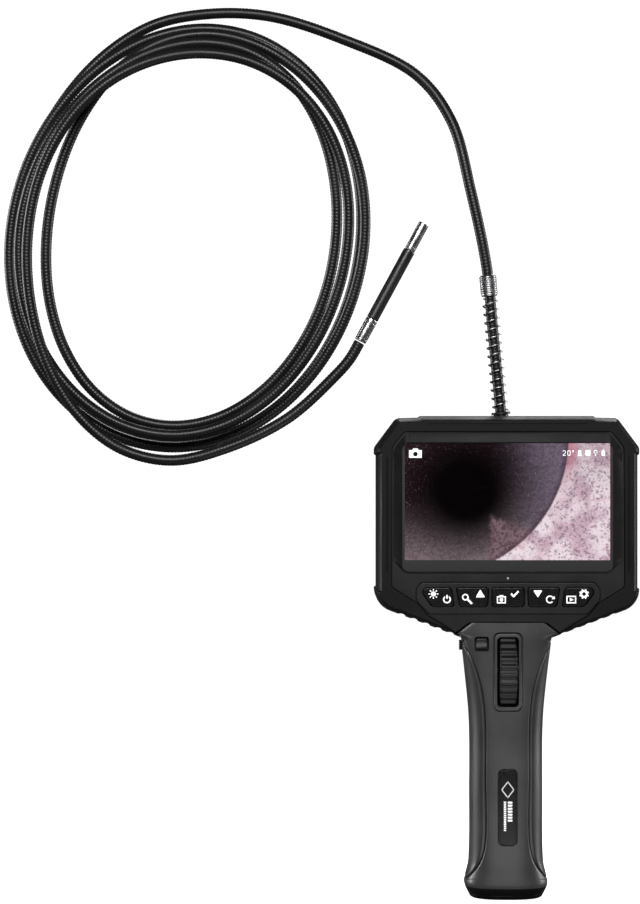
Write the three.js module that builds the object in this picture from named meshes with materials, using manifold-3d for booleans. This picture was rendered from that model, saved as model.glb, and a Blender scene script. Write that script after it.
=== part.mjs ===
// Handheld inspection camera (videoscope): a display head on a straight handle, a sprung strain relief,
// a long ribbed insertion tube lying in a coil, and a two-way steerable tip with a steel camera head.
// Millimetres. +Z runs up the handle to the display, the display faces -Y, +X is the operator's right.
// The origin is the centre of the handle's flat bottom end.
import * as THREE from 'three';
import { mergeVertices } from 'three/addons/utils/BufferGeometryUtils.js';
import Module from 'manifold-3d';

const wasm = await Module();
wasm.setup();
const { clamp, degToRad, lerp, smoothstep } = THREE.MathUtils;

// ---------------------------------------------------------------- driving dimensions
const GAP = 0.3; // clearance between two pieces that meet
const WALL = 2.6; // moulded wall of the housings

// display head, in depth (Y)
const GUARD_FRONT = -21;
const FACE_FRONT = -20;
const LIP_BACK = -17; // back of the raised face and of the guard's lip
const FRONT_WALL_BACK = -15.4;
const HEAD_BACK = 20;
const GUARD_BACK = 13;
const SPLIT = 0; // plane where the front and rear housings meet
const GUARD_DEPTHS = [[GUARD_FRONT, 2.4], [-17, 1], [-10, 0], [GUARD_BACK, 0]]; // depth, narrowing there
const SCALLOP = { count: 5, first: 6, pitch: 7, offset: 1.7, radius: 2.8 };

// display
const GLASS = { width: 117.4, bottom: 177.1, top: 250.6, front: -16.7, back: -15.5 };
const PANEL = { width: 115, bottom: 181.6, top: 250, front: -15.2, back: -11.8 };
const PANEL_FRAME = { front: -11.5, back: -9.6, border: 6 };
const BOARD = { width: 112, bottom: 180, top: 248, front: -8, back: -6.4 };

// keypad
const KEY = { bottom: 160.1, top: 170.3, front: -21, back: -16.8, corner: 1.3 };
const KEYPAD_RIM = 2.2; // width of the keypad frame's rim that rests on the face
const KEYPAD_MARGIN = 3; // distance from the frame's outline to the mat and the board behind it
const KEYPAD_FRONT = -21.3;
const MAT = { front: -15.2, back: -14 };
const KEY_BOARD = { front: -13.6, back: -12 };
const LED = { z: 175.2, radius: 0.6, hole: 0.9 };

// handle cross-sections from the bottom end upward: superellipses of the given power
const BASE = 3; // height of the handle's flat bottom end above the datum that heights are counted from
const HANDLE_SECTIONS = [
  { z: BASE, halfWidth: 19.2, front: -16.4, back: 16.2, power: 2.6 },
  { z: 8.5, halfWidth: 22, front: -18.9, back: 18.2, power: 2.6 },
  { z: 11.5, halfWidth: 22.5, front: -19.2, back: 18.8, power: 2.6 },
  { z: 23, halfWidth: 20.1, front: -18.4, back: 18, power: 2.6 },
  { z: 60, halfWidth: 19.7, front: -18.2, back: 17.6, power: 2.6 },
  { z: 98, halfWidth: 19.9, front: -18.8, back: 18, power: 2.6 },
  { z: 125, halfWidth: 22.2, front: -19.6, back: 19, power: 3.2 },
  { z: 143, halfWidth: 23.8, front: -20, back: 20, power: 4 },
  { z: 152, halfWidth: 23.8, front: -20, back: 20, power: 4 },
];
const HANDLE_SEGMENTS = 28;
const HANDLE_TOP = 150;
const COVER_SHOULDER = 144.3; // height where the cover's skin gives way to its flat top plate
const CAP_TOP = BASE + 2.4;
const CAP_RIM_TOP = BASE + 6;
const GRIP_THICK = 1.6;
const LABEL = { z: 52.8, width: 10, height: 40.8, front: -18.5, back: -17.2 };
const BUTTON = { x: -14, z: 140.1, size: 5.7, front: -18.4, back: -12.6, flange: 7 };
const BUTTON_POCKET = { width: 7.6, height: 8, corner: 1 };
const SLIDER = {
  y0: 4.2, y1: 7.8, z0: 135.4, z1: 140.6, outer: 24.9, inner: 17.5, travel: 2.8, groove: 0.5,
};

// steering wheel
const WHEEL = { radius: 21.5, width: 8.9, ribs: 30, ribDepth: 0.9, y: -7.2, z: 125.2 };
const BEZEL = { width: 15.3, height: 41.8, corner: 3.4, front: -20.6, back: -18.2 };
const SLOT = { width: 11.6, height: 37.4, corner: 2.2 };
const AXLE = { radius: 1.5, bush: 2.9, bearing: 12 }; // bearing: distance of the cheeks from the middle
const DRUM = { radius: 6.4, flange: 7.2, width: 4.6, flangeWidth: 0.8 };
const CHEEK = { front: -11, back: 6, bottom: 99.6, top: 133.6, half: 1 };
const STAY = { front: -12, back: 0, reach: 5, bottom: 141.6, top: 143.6 }; // arm that anchors the sheaths
const SHEATH = { radius: 0.7, spacing: 2.2 };

// fasteners: head and shank radii, head depth, length, and the holes that clear them
const SCREW = { head: 2.6, headDepth: 2, shank: 1.2, length: 15, hole: 1.5, counterbore: 2.9, boss: 3.2 };
const HEAD_SCREWS = [[-62.4, 236], [62.4, 236], [-59.8, 173.6], [59.8, 173.6]];
const HANDLE_SCREWS = [[-7.6, 89], [7.6, 89]];
const HANDLE_SCREW_BACK = 16.6;

// side port
const PORT = { z0: 193, z1: 225, y0: -9, y1: -0.6, hingeX: 70 };
const PORT_SWING = 0.5; // room beside the door for its opening edge
const PORT_PLUG = { x0: 65.4, x1: 68, edge: 1.6, wall: 0.8 };

// insertion tube and strain relief
const TUBE_RADIUS = 3;
const LEAN = degToRad(5.5); // the tube leaves the head leaning this far to the left
const EXIT = new THREE.Vector3(-2.4, 0, 261.9);
const GLAND = { radius: 4, hole: 4.3, collar: 5.2, seat: 0.8, bottom: -10, top: 2.2 };
const SPRING = { radius: 3.85, wire: 0.5, start: 3, length: 61, turns: 14 };
const COLLAR = { start: 65, length: 11.5, radius: 4.7 };

// coil of the insertion tube: half sizes of each turn where it crosses the top, left, bottom and right
const COIL = { x: -171, z: 358.6, skew: 0.075, backY: 16.5, pitch: 6.4 };
const COIL_TURNS = [
  { top: 123, left: 96, bottom: 112, right: 93 },
  { top: 114, left: 97.5, bottom: 113.5, right: 95 },
  { top: 110, left: 77, bottom: 102, right: 79.5 },
  { top: 104.5, left: 91, bottom: 107, right: 86 },
  { top: 98, left: 86, bottom: 120.6, right: 97 },
];
const COIL_END = 4.56; // turns from the first top crossing to where the tail leaves

// steerable tip
const TIP = { x: -78.8, y: COIL.backY - COIL.pitch * COIL_END, z: 301.6, lean: degToRad(28.5) };
const FERRULE = { length: 13.5, radius: 3.25, bore: 2.2 };
const SLEEVE = { length: 41.6, outer: 3.2, inner: 2.75 };
const LINK = { hinges: 5, pitch: 8, firstHinge: 5.2, radius: 2.45, bore: 1.4, bend: degToRad(36) };
const SPIGOT = { radius: 1.9, length: 3 };
const HEAD = { length: 16.2, radius: 2.85, bore: 2.2 };

// ---------------------------------------------------------------- materials
function finish(color, roughness, metalness) {
  return new THREE.MeshStandardMaterial({ color, roughness, metalness });
}

const MATERIAL = {
  shell: finish(0x3c3d3f, 0.5, 0),
  face: finish(0x37383a, 0.45, 0),
  guard: finish(0x1f2021, 0.75, 0),
  grip: finish(0x3a3b3c, 0.7, 0),
  gloss: finish(0x0c0c0d, 0.15, 0),
  glass: finish(0x101113, 0.05, 0),
  panel: finish(0x5a5058, 0.3, 0),
  board: finish(0x1e5a38, 0.5, 0),
  silicone: finish(0x4a4c50, 0.8, 0),
  steel: finish(0xb9bcc0, 0.25, 1),
  brass: finish(0xb5954a, 0.35, 1),
  tube: finish(0x151516, 0.45, 0),
  rubber: finish(0x222324, 0.6, 0),
  light: finish(0xf2f2ee, 0.3, 0),
  cell: finish(0x2f5f9e, 0.4, 0),
};

// ---------------------------------------------------------------- solids
function solidOf(geometry) {
  const bare = geometry.clone();
  bare.deleteAttribute('normal');
  bare.deleteAttribute('uv');
  const merged = mergeVertices(bare, 1e-4);
  return new wasm.Manifold(new wasm.Mesh({
    numProp: 3,
    vertProperties: new Float32Array(merged.attributes.position.array),
    triVerts: new Uint32Array(merged.index.array),
  }));
}

function geometryOf(solid) {
  const { vertProperties, triVerts } = solid.getMesh();
  const geometry = new THREE.BufferGeometry();
  geometry.setAttribute('position', new THREE.BufferAttribute(vertProperties, 3));
  geometry.setIndex(new THREE.BufferAttribute(triVerts, 1));
  geometry.computeVertexNormals();
  return geometry;
}

// the base joined with every added piece, less every cut piece, inside every kept piece
function combine(base, { added = [], cut = [], kept = [] }) {
  let solid = solidOf(base);
  for (const piece of added) solid = solid.add(solidOf(piece));
  for (const piece of cut) solid = solid.subtract(solidOf(piece));
  for (const piece of kept) solid = solid.intersect(solidOf(piece));
  return geometryOf(solid);
}

// ---------------------------------------------------------------- outlines in the XZ plane, [x, z]
const mirrored = (half) => [...half, ...half.map(([x, z]) => [-x, z]).reverse()];
const flipped = (points) => points.map(([x, z]) => [-x, z]).reverse();

function arc(x, z, radius, start, end, steps) {
  return Array.from({ length: steps + 1 }, (_, i) => {
    const a = degToRad(lerp(start, end, i / steps));
    return [x + radius * Math.cos(a), z + radius * Math.sin(a)];
  });
}

function roundedRect(x, z, width, height, radius, steps = 3) {
  const corners = [[1, -1, -90], [1, 1, 0], [-1, 1, 90], [-1, -1, 180]];
  return corners.flatMap(([sx, sz, start]) => {
    const cornerX = x + sx * (width / 2 - radius);
    const cornerZ = z + sz * (height / 2 - radius);
    return arc(cornerX, cornerZ, radius, start, start + 90, steps);
  });
}

// moves every edge of a counter-clockwise outline inward by distance
function inset(points, distance) {
  const count = points.length;
  return points.map((here, i) => {
    const before = points[(i + count - 1) % count];
    const after = points[(i + 1) % count];
    const a = new THREE.Vector2(here[0] - before[0], here[1] - before[1]).normalize();
    const b = new THREE.Vector2(after[0] - here[0], after[1] - here[1]).normalize();
    const shift = distance / (1 + a.dot(b));
    return [here[0] - (a.y + b.y) * shift, here[1] + (a.x + b.x) * shift];
  });
}

// replaces every corner of a convex outline with a curve that starts radius away from it
function softened(points, radius, steps = 2) {
  const count = points.length;
  return points.flatMap((corner, i) => {
    const here = new THREE.Vector2(...corner);
    const toward = (other) => new THREE.Vector2(...other).sub(here).setLength(radius).add(here);
    const start = toward(points[(i + count - 1) % count]);
    const bend = new THREE.QuadraticBezierCurve(start, here, toward(points[(i + 1) % count]));
    return bend.getPoints(steps).map((p) => [p.x, p.y]);
  });
}

// ---------------------------------------------------------------- basic pieces
// an outline extruded along Y from front to back
function slab(outline, front, back) {
  const shape = new THREE.Shape(outline.map(([x, z]) => new THREE.Vector2(x, z)));
  const geometry = new THREE.ExtrudeGeometry(shape, { depth: back - front, bevelEnabled: false });
  geometry.rotateX(Math.PI / 2);
  return geometry.translate(0, back, 0);
}

// an outline of [y, z] points extruded along X from x0 to x1
function prism(outline, x0, x1) {
  const shape = new THREE.Shape(outline.map(([y, z]) => new THREE.Vector2(y, z)));
  const geometry = new THREE.ExtrudeGeometry(shape, { depth: x1 - x0, bevelEnabled: false });
  const axes = [new THREE.Vector3(0, 1, 0), new THREE.Vector3(0, 0, 1), new THREE.Vector3(1, 0, 0)];
  geometry.applyMatrix4(new THREE.Matrix4().makeBasis(...axes));
  return geometry.translate(x0, 0, 0);
}

function block(x0, x1, y0, y1, z0, z1) {
  const geometry = new THREE.BoxGeometry(x1 - x0, y1 - y0, z1 - z0);
  return geometry.translate((x0 + x1) / 2, (y0 + y1) / 2, (z0 + z1) / 2);
}

// a cylinder along Y between two depths
function pegY(x, z, radius, y0, y1, segments = 12) {
  const geometry = new THREE.CylinderGeometry(radius, radius, y1 - y0, segments);
  return geometry.translate(x, (y0 + y1) / 2, z);
}

const pegsY = (spots, radius, y0, y1) => spots.map(([x, z]) => pegY(x, z, radius, y0, y1));

// a cylinder on the steering wheel's axis
function pegX(radius, x0, x1, segments = 24) {
  const geometry = new THREE.CylinderGeometry(radius, radius, x1 - x0, segments);
  geometry.rotateZ(Math.PI / 2);
  return geometry.translate((x0 + x1) / 2, WHEEL.y, WHEEL.z);
}

// a piece turned about +Z from a closed profile of [radius, z] points, listed upward along its outside
function turned(profile, segments = 20) {
  const geometry = new THREE.LatheGeometry(profile.map(([r, z]) => new THREE.Vector2(r, z)), segments);
  return geometry.rotateX(Math.PI / 2);
}

const rod = (radius, z0, z1, segments) => turned([[0, z0], [radius, z0], [radius, z1], [0, z1]], segments);

function pipe(inner, outer, z0, z1, segments) {
  return turned([[inner, z0], [outer, z0], [outer, z1], [inner, z1], [inner, z0]], segments);
}

// a round cord along a curve
function cord(curve, radius, steps, sides) {
  const ring = arc(0, 0, radius, 0, 360 - 360 / sides, sides - 1);
  const shape = new THREE.Shape(ring.map(([x, y]) => new THREE.Vector2(x, y)));
  return new THREE.ExtrudeGeometry(shape, { steps, bevelEnabled: false, extrudePath: curve });
}

// a closed skin over rings of equal length that are counter-clockwise seen from the last ring
function loft(rings) {
  const count = rings[0].length;
  const index = [];
  for (let ring = 0; ring + 1 < rings.length; ring += 1) {
    for (let i = 0; i < count; i += 1) {
      const a = ring * count + i;
      const b = ring * count + ((i + 1) % count);
      index.push(a, b, b + count, a, b + count, a + count);
    }
  }
  const last = (rings.length - 1) * count;
  for (let i = 1; i + 1 < count; i += 1) {
    index.push(0, i + 1, i);
    index.push(last, last + i, last + i + 1);
  }
  const geometry = new THREE.BufferGeometry().setFromPoints(rings.flat());
  geometry.setIndex(index);
  return geometry;
}

// ---------------------------------------------------------------- outlines of the head
const HEAD_OUTLINE = mirrored([
  [24.6, 143],
  ...arc(58.4, 169.2, 12.6, -66, 0, 5),
  [70, 169.6],
  [70, 240.8],
  [71, 241.4],
  ...arc(67, 243.6, 4, 5, 38, 2),
  ...arc(57.2, 256.8, 4, 42, 86, 3),
  [47.6, 261],
  [46.4, 261.9],
]);
const HOUSING_OUTLINE = mirrored([
  [24.6, 146],
  [58.4, 160.2],
  [66, 170],
  [66, 242.4],
  [55.4, 257.2],
  [45, 258.8],
]);
const FACE_OUTLINE = mirrored([
  [27, 145.7],
  [43.2, 155.8],
  [47.5, 161.6],
  [61.9, 170.6],
  [61.6, 245],
  [55, 253.3],
]);
const COVER_TOP = mirrored([[23, 141], [28, 145.9], [20.5, 151.5]]);
const KEYPAD_OUTLINE = mirrored([[42.6, 156.4], [49, 163.7], [49, 169.6], [46, 172.9]]);
const RECESS_FRONT = mirrored([[54.4, 177.3], [61, 184.2], [60.6, 244.4], [54.5, 252.3]]);
const RECESS_BACK = mirrored([[54.2, 178.7], [56.4, 180.7], [56.4, 245], [54.4, 247.5]]);

const glassOutline = (grow) => {
  const { width, bottom, top } = GLASS;
  return roundedRect(0, (bottom + top) / 2, width + 2 * grow, top - bottom + 2 * grow, 4, 2);
};

// cutting tools that keep one side of the split or the part of the handle above its cap
const inFront = () => block(-90, 90, -60, SPLIT - GAP / 2, -10, 500);
const behind = () => block(-90, 90, SPLIT + GAP / 2, 60, -10, 500);
const aboveCap = () => block(-90, 90, -60, 60, CAP_TOP + GAP, 500);

// moves a piece made about +Z to the tube's exit, leaning with the tube
const atExit = (geometry) => geometry.rotateY(-LEAN).translate(EXIT.x, EXIT.y, EXIT.z);
const glandHole = () => atExit(rod(GLAND.hole, GLAND.bottom - 2, GLAND.top + 2, 16));

// ---------------------------------------------------------------- handle body
function handleSection(z) {
  const above = Math.max(1, HANDLE_SECTIONS.findIndex((section) => section.z >= z));
  const [a, b] = [HANDLE_SECTIONS[above - 1], HANDLE_SECTIONS[above]];
  const mix = (key) => lerp(a[key], b[key], (z - a.z) / (b.z - a.z));
  return { halfWidth: mix('halfWidth'), front: mix('front'), back: mix('back'), power: mix('power') };
}

// the handle's body between two heights, with its skin moved inward by shrink
function handleLoft(shrink, from, to) {
  const between = HANDLE_SECTIONS.map((section) => section.z).filter((z) => z > from && z < to);
  return loft([from, ...between, to].map((z) => {
    const { halfWidth, front, back, power } = handleSection(z);
    const bulge = (value) => Math.sign(value) * Math.abs(value) ** (2 / power);
    return Array.from({ length: HANDLE_SEGMENTS }, (_, i) => {
      const a = (2 * Math.PI * i) / HANDLE_SEGMENTS;
      const x = (halfWidth - shrink) * bulge(Math.cos(a));
      const y = (front + back) / 2 + ((back - front) / 2 - shrink) * bulge(Math.sin(a));
      return new THREE.Vector3(x, y, z);
    });
  }));
}

const handleCavity = () => handleLoft(WALL, BASE + 1, HANDLE_TOP + 1.9);

// the outline of the right-hand grip seen from the front; its inner edge swells at both ends of the handle
function gripOutline(grow) {
  const edge = new THREE.SplineCurve([
    [26, 142.4], [21.2, 135.3], [15.4, 120.5], [12.6, 103.7], [12.2, 68],
    [12.4, 36.5], [15.4, 23], [20.5, 15], [26, 9.6],
  ].map(([x, z]) => new THREE.Vector2(x - grow, z)));
  return [...edge.getPoints(20).map((p) => [p.x, p.y]), [40, 9.6], [40, 142.4]];
}

// the shallow seats in the handle's skin that the two side grips fill
function gripSeats() {
  const right = gripOutline(GAP);
  return combine(slab(right, -60, 60), {
    added: [slab(flipped(right), -60, 60)],
    cut: [handleLoft(GRIP_THICK + GAP, BASE, HANDLE_TOP)],
  });
}

const sliderSlot = () => {
  const { y0, y1, z0, z1, travel } = SLIDER;
  return block(-30, -15, y0 - GAP, y1 + GAP, z0 - travel - GAP, z1 + GAP);
};

// ---------------------------------------------------------------- display head
// the sloped walls that lead from the face down to the display glass
function displayRecess() {
  const ring = (outline, y) => outline.map(([x, z]) => new THREE.Vector3(x, y, z));
  const depth = LIP_BACK - FACE_FRONT;
  const mouth = RECESS_FRONT.map(([x, z], i) => {
    const [backX, backZ] = RECESS_BACK[i];
    return [x + (x - backX) / depth, z + (z - backZ) / depth];
  });
  return loft([
    ring(RECESS_BACK, FRONT_WALL_BACK + 1),
    ring(RECESS_BACK, LIP_BACK),
    ring(mouth, FACE_FRONT - 1),
  ]);
}

// a row of round notches along the slope under each lower corner of the guard
function scallops() {
  const [startX, startZ] = HEAD_OUTLINE[0];
  const slope = new THREE.Vector2(38.9, 14.7).normalize();
  const pegs = [];
  for (let i = 0; i < SCALLOP.count; i += 1) {
    const along = SCALLOP.first + SCALLOP.pitch * i;
    const x = startX + slope.x * along + slope.y * SCALLOP.offset;
    const z = startZ + slope.y * along - slope.x * SCALLOP.offset;
    pegs.push([x, z], [-x, z]);
  }
  return pegsY(pegs, SCALLOP.radius, GUARD_FRONT - 1, GUARD_BACK + 1);
}

// the guard's outside, whose front edge narrows toward the display
function guardBody() {
  const ring = ([y, narrowing]) => {
    return inset(HEAD_OUTLINE, narrowing).map(([x, z]) => new THREE.Vector3(x, y, z));
  };
  return loft(GUARD_DEPTHS.map(ring).reverse());
}

function guardFrame() {
  return combine(guardBody(), {
    cut: [
      slab(inset(FACE_OUTLINE, -GAP), GUARD_FRONT - 1, LIP_BACK + 1),
      slab(inset(HOUSING_OUTLINE, -GAP), LIP_BACK - GAP, GUARD_BACK + 1),
      block(-28.6, 28.6, GUARD_FRONT - 1, GUARD_BACK + 1, 140, 153),
      block(60, 80, PORT.y0 - PORT_SWING, PORT.y1 + GAP, PORT.z0 - GAP, PORT.z1 + GAP),
      glandHole(),
      ...scallops(),
    ],
  });
}

function frontHousing() {
  const tray = combine(slab(HOUSING_OUTLINE, LIP_BACK, SPLIT), {
    added: [slab(FACE_OUTLINE, FACE_FRONT, LIP_BACK + 1)],
    cut: [slab(inset(HOUSING_OUTLINE, WALL), FRONT_WALL_BACK, SPLIT + 1)],
  });
  return combine(tray, {
    added: pegsY(HEAD_SCREWS, SCREW.boss, FRONT_WALL_BACK - 1, SPLIT),
    cut: [
      displayRecess(),
      slab(glassOutline(GAP), LIP_BACK, FRONT_WALL_BACK + 1),
      slab(inset(KEYPAD_OUTLINE, -GAP), FACE_FRONT - 1, FACE_FRONT + 2 * GAP),
      slab(inset(KEYPAD_OUTLINE, KEYPAD_RIM), FACE_FRONT - 1, FRONT_WALL_BACK + 1),
      slab(inset(COVER_TOP, -GAP), FACE_FRONT - 1, SPLIT + 1),
      block(60, 80, PORT.y0 + 1, PORT.y1 - 1, PORT.z0 + 1, PORT.z1 - 1),
      pegY(0, LED.z, LED.hole, FACE_FRONT - 1, FRONT_WALL_BACK + 1, 10),
      glandHole(),
      ...pegsY(HEAD_SCREWS, SCREW.hole, SPLIT - 8, SPLIT + 1),
    ],
    kept: [inFront()],
  });
}

function rearHousing() {
  const shell = combine(slab(HOUSING_OUTLINE, SPLIT, HEAD_BACK), {
    added: [handleLoft(0, BASE, HANDLE_TOP)],
    cut: [slab(inset(HOUSING_OUTLINE, WALL), SPLIT - 1, HEAD_BACK - WALL), handleCavity(), gripSeats()],
  });
  return combine(shell, {
    added: [
      ...pegsY(HEAD_SCREWS, SCREW.boss, SPLIT, HEAD_BACK - 1),
      ...pegsY(HANDLE_SCREWS, SCREW.boss, SPLIT, HANDLE_SCREW_BACK - 1.2),
    ],
    cut: [
      ...pegsY(HEAD_SCREWS, SCREW.hole, SPLIT - 1, HEAD_BACK + 1),
      ...pegsY(HEAD_SCREWS, SCREW.counterbore, HEAD_BACK - SCREW.headDepth - GAP, HEAD_BACK + 1),
      ...pegsY(HANDLE_SCREWS, SCREW.hole, SPLIT - 1, HEAD_BACK),
      ...pegsY(HANDLE_SCREWS, SCREW.counterbore, HANDLE_SCREW_BACK - SCREW.headDepth - GAP, HEAD_BACK),
      sliderSlot(),
      glandHole(),
    ],
    kept: [behind(), aboveCap()],
  });
}

const displayGlass = () => slab(glassOutline(0), GLASS.front, GLASS.back);
const panelOutline = (border) => {
  const { width, bottom, top } = PANEL;
  return roundedRect(0, (bottom + top) / 2, width - 2 * border, top - bottom - 2 * border, 1, 1);
};
const displayPanel = () => slab(panelOutline(0), PANEL.front, PANEL.back);

function panelFrame() {
  const { front, back, border } = PANEL_FRAME;
  return combine(slab(panelOutline(0), front, back), {
    cut: [slab(panelOutline(border), front - 1, back + 1)],
  });
}

function mainBoard() {
  const { width, bottom, top, front, back } = BOARD;
  return block(-width / 2, width / 2, front, back, bottom, top);
}

// the rubber door in the right side of the guard, with the hollow plug that fills the port opening
function portCover() {
  const plug = (shrink) => {
    const front = PORT.y0 + PORT_PLUG.edge + PORT_SWING + shrink;
    const back = PORT.y1 - PORT_PLUG.edge - shrink;
    return [front, back, PORT.z0 + PORT_PLUG.edge + shrink, PORT.z1 - PORT_PLUG.edge - shrink];
  };
  return combine(block(67.6, PORT.hingeX, PORT.y0, PORT.y1, PORT.z0, PORT.z1), {
    added: [block(PORT_PLUG.x0, PORT_PLUG.x1, ...plug(0))],
    cut: [block(PORT_PLUG.x0 - 1, PORT_PLUG.x1 - 1, ...plug(PORT_PLUG.wall))],
  });
}

const usbSocket = () => block(54, 63.6, BOARD.back + GAP, -2.9, 210, 219);
const cardSlot = () => block(48, 63.6, BOARD.back + GAP, -4, 196, 207.4);

// ---------------------------------------------------------------- keypad
const INNER_KEY = [[10.9, KEY.bottom], [25.9, KEY.bottom], [27.6, KEY.top], [10.4, KEY.top]];
const OUTER_KEY = [
  [28.7, KEY.bottom],
  [40.6, KEY.bottom],
  [46, KEY.top - 2.6],
  [44.4, KEY.top],
  [30.3, KEY.top],
];
const KEYS = {
  key_light: flipped(OUTER_KEY),
  key_zoom: flipped(INNER_KEY),
  key_capture: mirrored([[8.6, KEY.bottom], [8.6, KEY.top]]),
  key_rotate: INNER_KEY,
  key_playback: OUTER_KEY,
};
const keyOutline = (name, grow) => softened(inset(KEYS[name], -grow), KEY.corner);

function keypadFrame() {
  return combine(slab(KEYPAD_OUTLINE, KEYPAD_FRONT, FACE_FRONT + GAP), {
    added: [slab(inset(KEYPAD_OUTLINE, KEYPAD_RIM + GAP), FACE_FRONT, LIP_BACK + 1)],
    cut: Object.keys(KEYS).map((name) => slab(keyOutline(name, GAP), KEYPAD_FRONT - 1, LIP_BACK + 2)),
  });
}

// ---------------------------------------------------------------- handle pieces
function sideGrip(side) {
  const outline = side > 0 ? gripOutline(0) : flipped(gripOutline(0));
  return combine(slab(outline, -60, 60), {
    cut: [handleLoft(GRIP_THICK, BASE, HANDLE_TOP), sliderSlot()],
    kept: [handleLoft(0, BASE + 4, 142.6)],
  });
}

function handleFrontCover() {
  const shell = combine(handleLoft(0, BASE, COVER_SHOULDER), {
    added: [slab(COVER_TOP, FACE_FRONT, FACE_FRONT + WALL)],
    cut: [handleCavity(), gripSeats()],
  });
  const { width, height, corner } = BUTTON_POCKET;
  const pocket = roundedRect(BUTTON.x, BUTTON.z, width, height, corner);
  const framed = (z, size, grow, corner) => {
    return roundedRect(0, z, size.width + 2 * grow, size.height + 2 * grow, corner);
  };
  const buttonHole = BUTTON.size + 2 * GAP;
  return combine(shell, {
    added: pegsY(HANDLE_SCREWS, SCREW.boss, -16.4, SPLIT),
    cut: [
      slab(framed(WHEEL.z, BEZEL, GAP, BEZEL.corner), -30, -14),
      slab(framed(LABEL.z, LABEL, GAP, 1.8), -30, LABEL.back + GAP),
      slab(roundedRect(BUTTON.x, BUTTON.z, buttonHole, buttonHole, 0.8), -30, BUTTON.back),
      slab(pocket, -30, BUTTON.front + GAP),
      ...pegsY(HANDLE_SCREWS, SCREW.hole, SPLIT - 8, SPLIT + 1),
    ],
    kept: [inFront(), aboveCap()],
  });
}

function baseCap() {
  return combine(handleLoft(0, BASE, CAP_TOP), {
    added: [handleLoft(WALL + GAP, BASE + 1, CAP_RIM_TOP)],
    cut: [handleLoft(WALL + 2, CAP_TOP, CAP_RIM_TOP + 2)],
  });
}

function labelPlate() {
  return slab(roundedRect(0, LABEL.z, LABEL.width, LABEL.height, 1.6), LABEL.front, LABEL.back);
}

function handleButton() {
  const { x, z, size, front, back, flange } = BUTTON;
  return combine(slab(roundedRect(x, z, size, size, 0.6), front, back), {
    added: [slab(roundedRect(x, z, flange, flange, 0.6), back - 1, back)],
  });
}

function lockSlider() {
  const { y0, y1, z0, z1, outer, inner, groove } = SLIDER;
  const grooves = [];
  for (let z = z0 + groove; z < z1 - groove; z += 2.4 * groove) {
    grooves.push(block(-outer - 1, -outer + 0.35, y0 - 1, y1 + 1, z, z + groove));
  }
  return combine(block(-outer, -inner, y0, y1, z0, z1), {
    added: [block(-inner - 0.9, -inner, y0 - 1.6, y1 + 1.6, z0 - 1.2, z1 + 1.2)],
    cut: grooves,
  });
}

// ---------------------------------------------------------------- battery
const CELL = { radius: 9.2, bottom: 13, top: 78 };
const batteryCell = () => rod(CELL.radius, CELL.bottom, CELL.top, 24);
const contactPlate = () => block(-8, 8, -8, 8, CELL.top + GAP, CELL.top + 1.3);

class Helix extends THREE.Curve {
  constructor(radius, start, length, turns) {
    super();
    Object.assign(this, { radius, start, length, turns });
  }

  getPoint(t, target = new THREE.Vector3()) {
    const a = 2 * Math.PI * this.turns * t;
    return target.set(this.radius * Math.cos(a), this.radius * Math.sin(a), this.start + this.length * t);
  }
}

const contactSpring = () => cord(new Helix(4.5, CELL.bottom - 5.4, 4.6, 3), 0.35, 24, 4);

// ---------------------------------------------------------------- steering
const onWheelAxis = (geometry) => geometry.translate(0, WHEEL.y, WHEEL.z);
const axleBore = () => pegX(AXLE.radius + GAP, -20, 20, 16);

function thumbWheel() {
  const depth = WHEEL.ribDepth;
  const corners = [[0, 0], [0.45, 0], [0.6, depth], [0.85, depth]]; // share of a rib, drop there
  const outline = [];
  for (let rib = 0; rib < WHEEL.ribs; rib += 1) {
    for (const [share, drop] of corners) {
      const a = (2 * Math.PI * (rib + share)) / WHEEL.ribs;
      outline.push([(WHEEL.radius - drop) * Math.cos(a), (WHEEL.radius - drop) * Math.sin(a)]);
    }
  }
  return combine(onWheelAxis(prism(outline, -WHEEL.width / 2, WHEEL.width / 2)), { cut: [axleBore()] });
}

function cableDrum() {
  const start = WHEEL.width / 2 + GAP;
  const end = start + DRUM.width;
  return combine(pegX(DRUM.radius, start, end), {
    added: [
      pegX(DRUM.flange, start, start + DRUM.flangeWidth),
      pegX(DRUM.flange, end - DRUM.flangeWidth, end),
    ],
    cut: [axleBore()],
  });
}

const wheelAxle = () => pegX(AXLE.radius, -AXLE.bearing - 2, AXLE.bearing + 2, 16);

function axleBush(side) {
  const middle = side * AXLE.bearing;
  return combine(pegX(AXLE.bush, middle - 1.6, middle + 1.6), { cut: [axleBore()] });
}

// two cheeks joined below the wheel, with an arm over the drum that anchors the steering sheaths
function wheelBracket() {
  const { front, back, bottom, top, half } = CHEEK;
  const cheek = (side) => {
    const middle = side * AXLE.bearing;
    return block(middle - half, middle + half, front, back, bottom, top);
  };
  return combine(cheek(-1), {
    added: [
      cheek(1),
      block(-AXLE.bearing - half, AXLE.bearing + half, front, back, bottom, bottom + 2),
      block(AXLE.bearing - half, AXLE.bearing + half, STAY.front, STAY.back, top - 1, STAY.top),
      block(STAY.reach, AXLE.bearing, STAY.front, STAY.back, STAY.bottom, STAY.top),
    ],
    cut: [pegX(AXLE.bush + GAP, -20, 20)],
  });
}

// one of the two sheaths that lead the steering wires from the drum up to the tube's exit
function steeringSheath(side) {
  const offset = (side * SHEATH.spacing) / 2;
  const stops = [[7.7, -4, 144], [6.5, 2, 172], [-0.5, 4, 225], [-1.6, 0, 250]];
  const path = new THREE.CatmullRomCurve3(stops.map(([x, y, z]) => new THREE.Vector3(x + offset, y, z)));
  return cord(path, SHEATH.radius, 14, 6);
}

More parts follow.
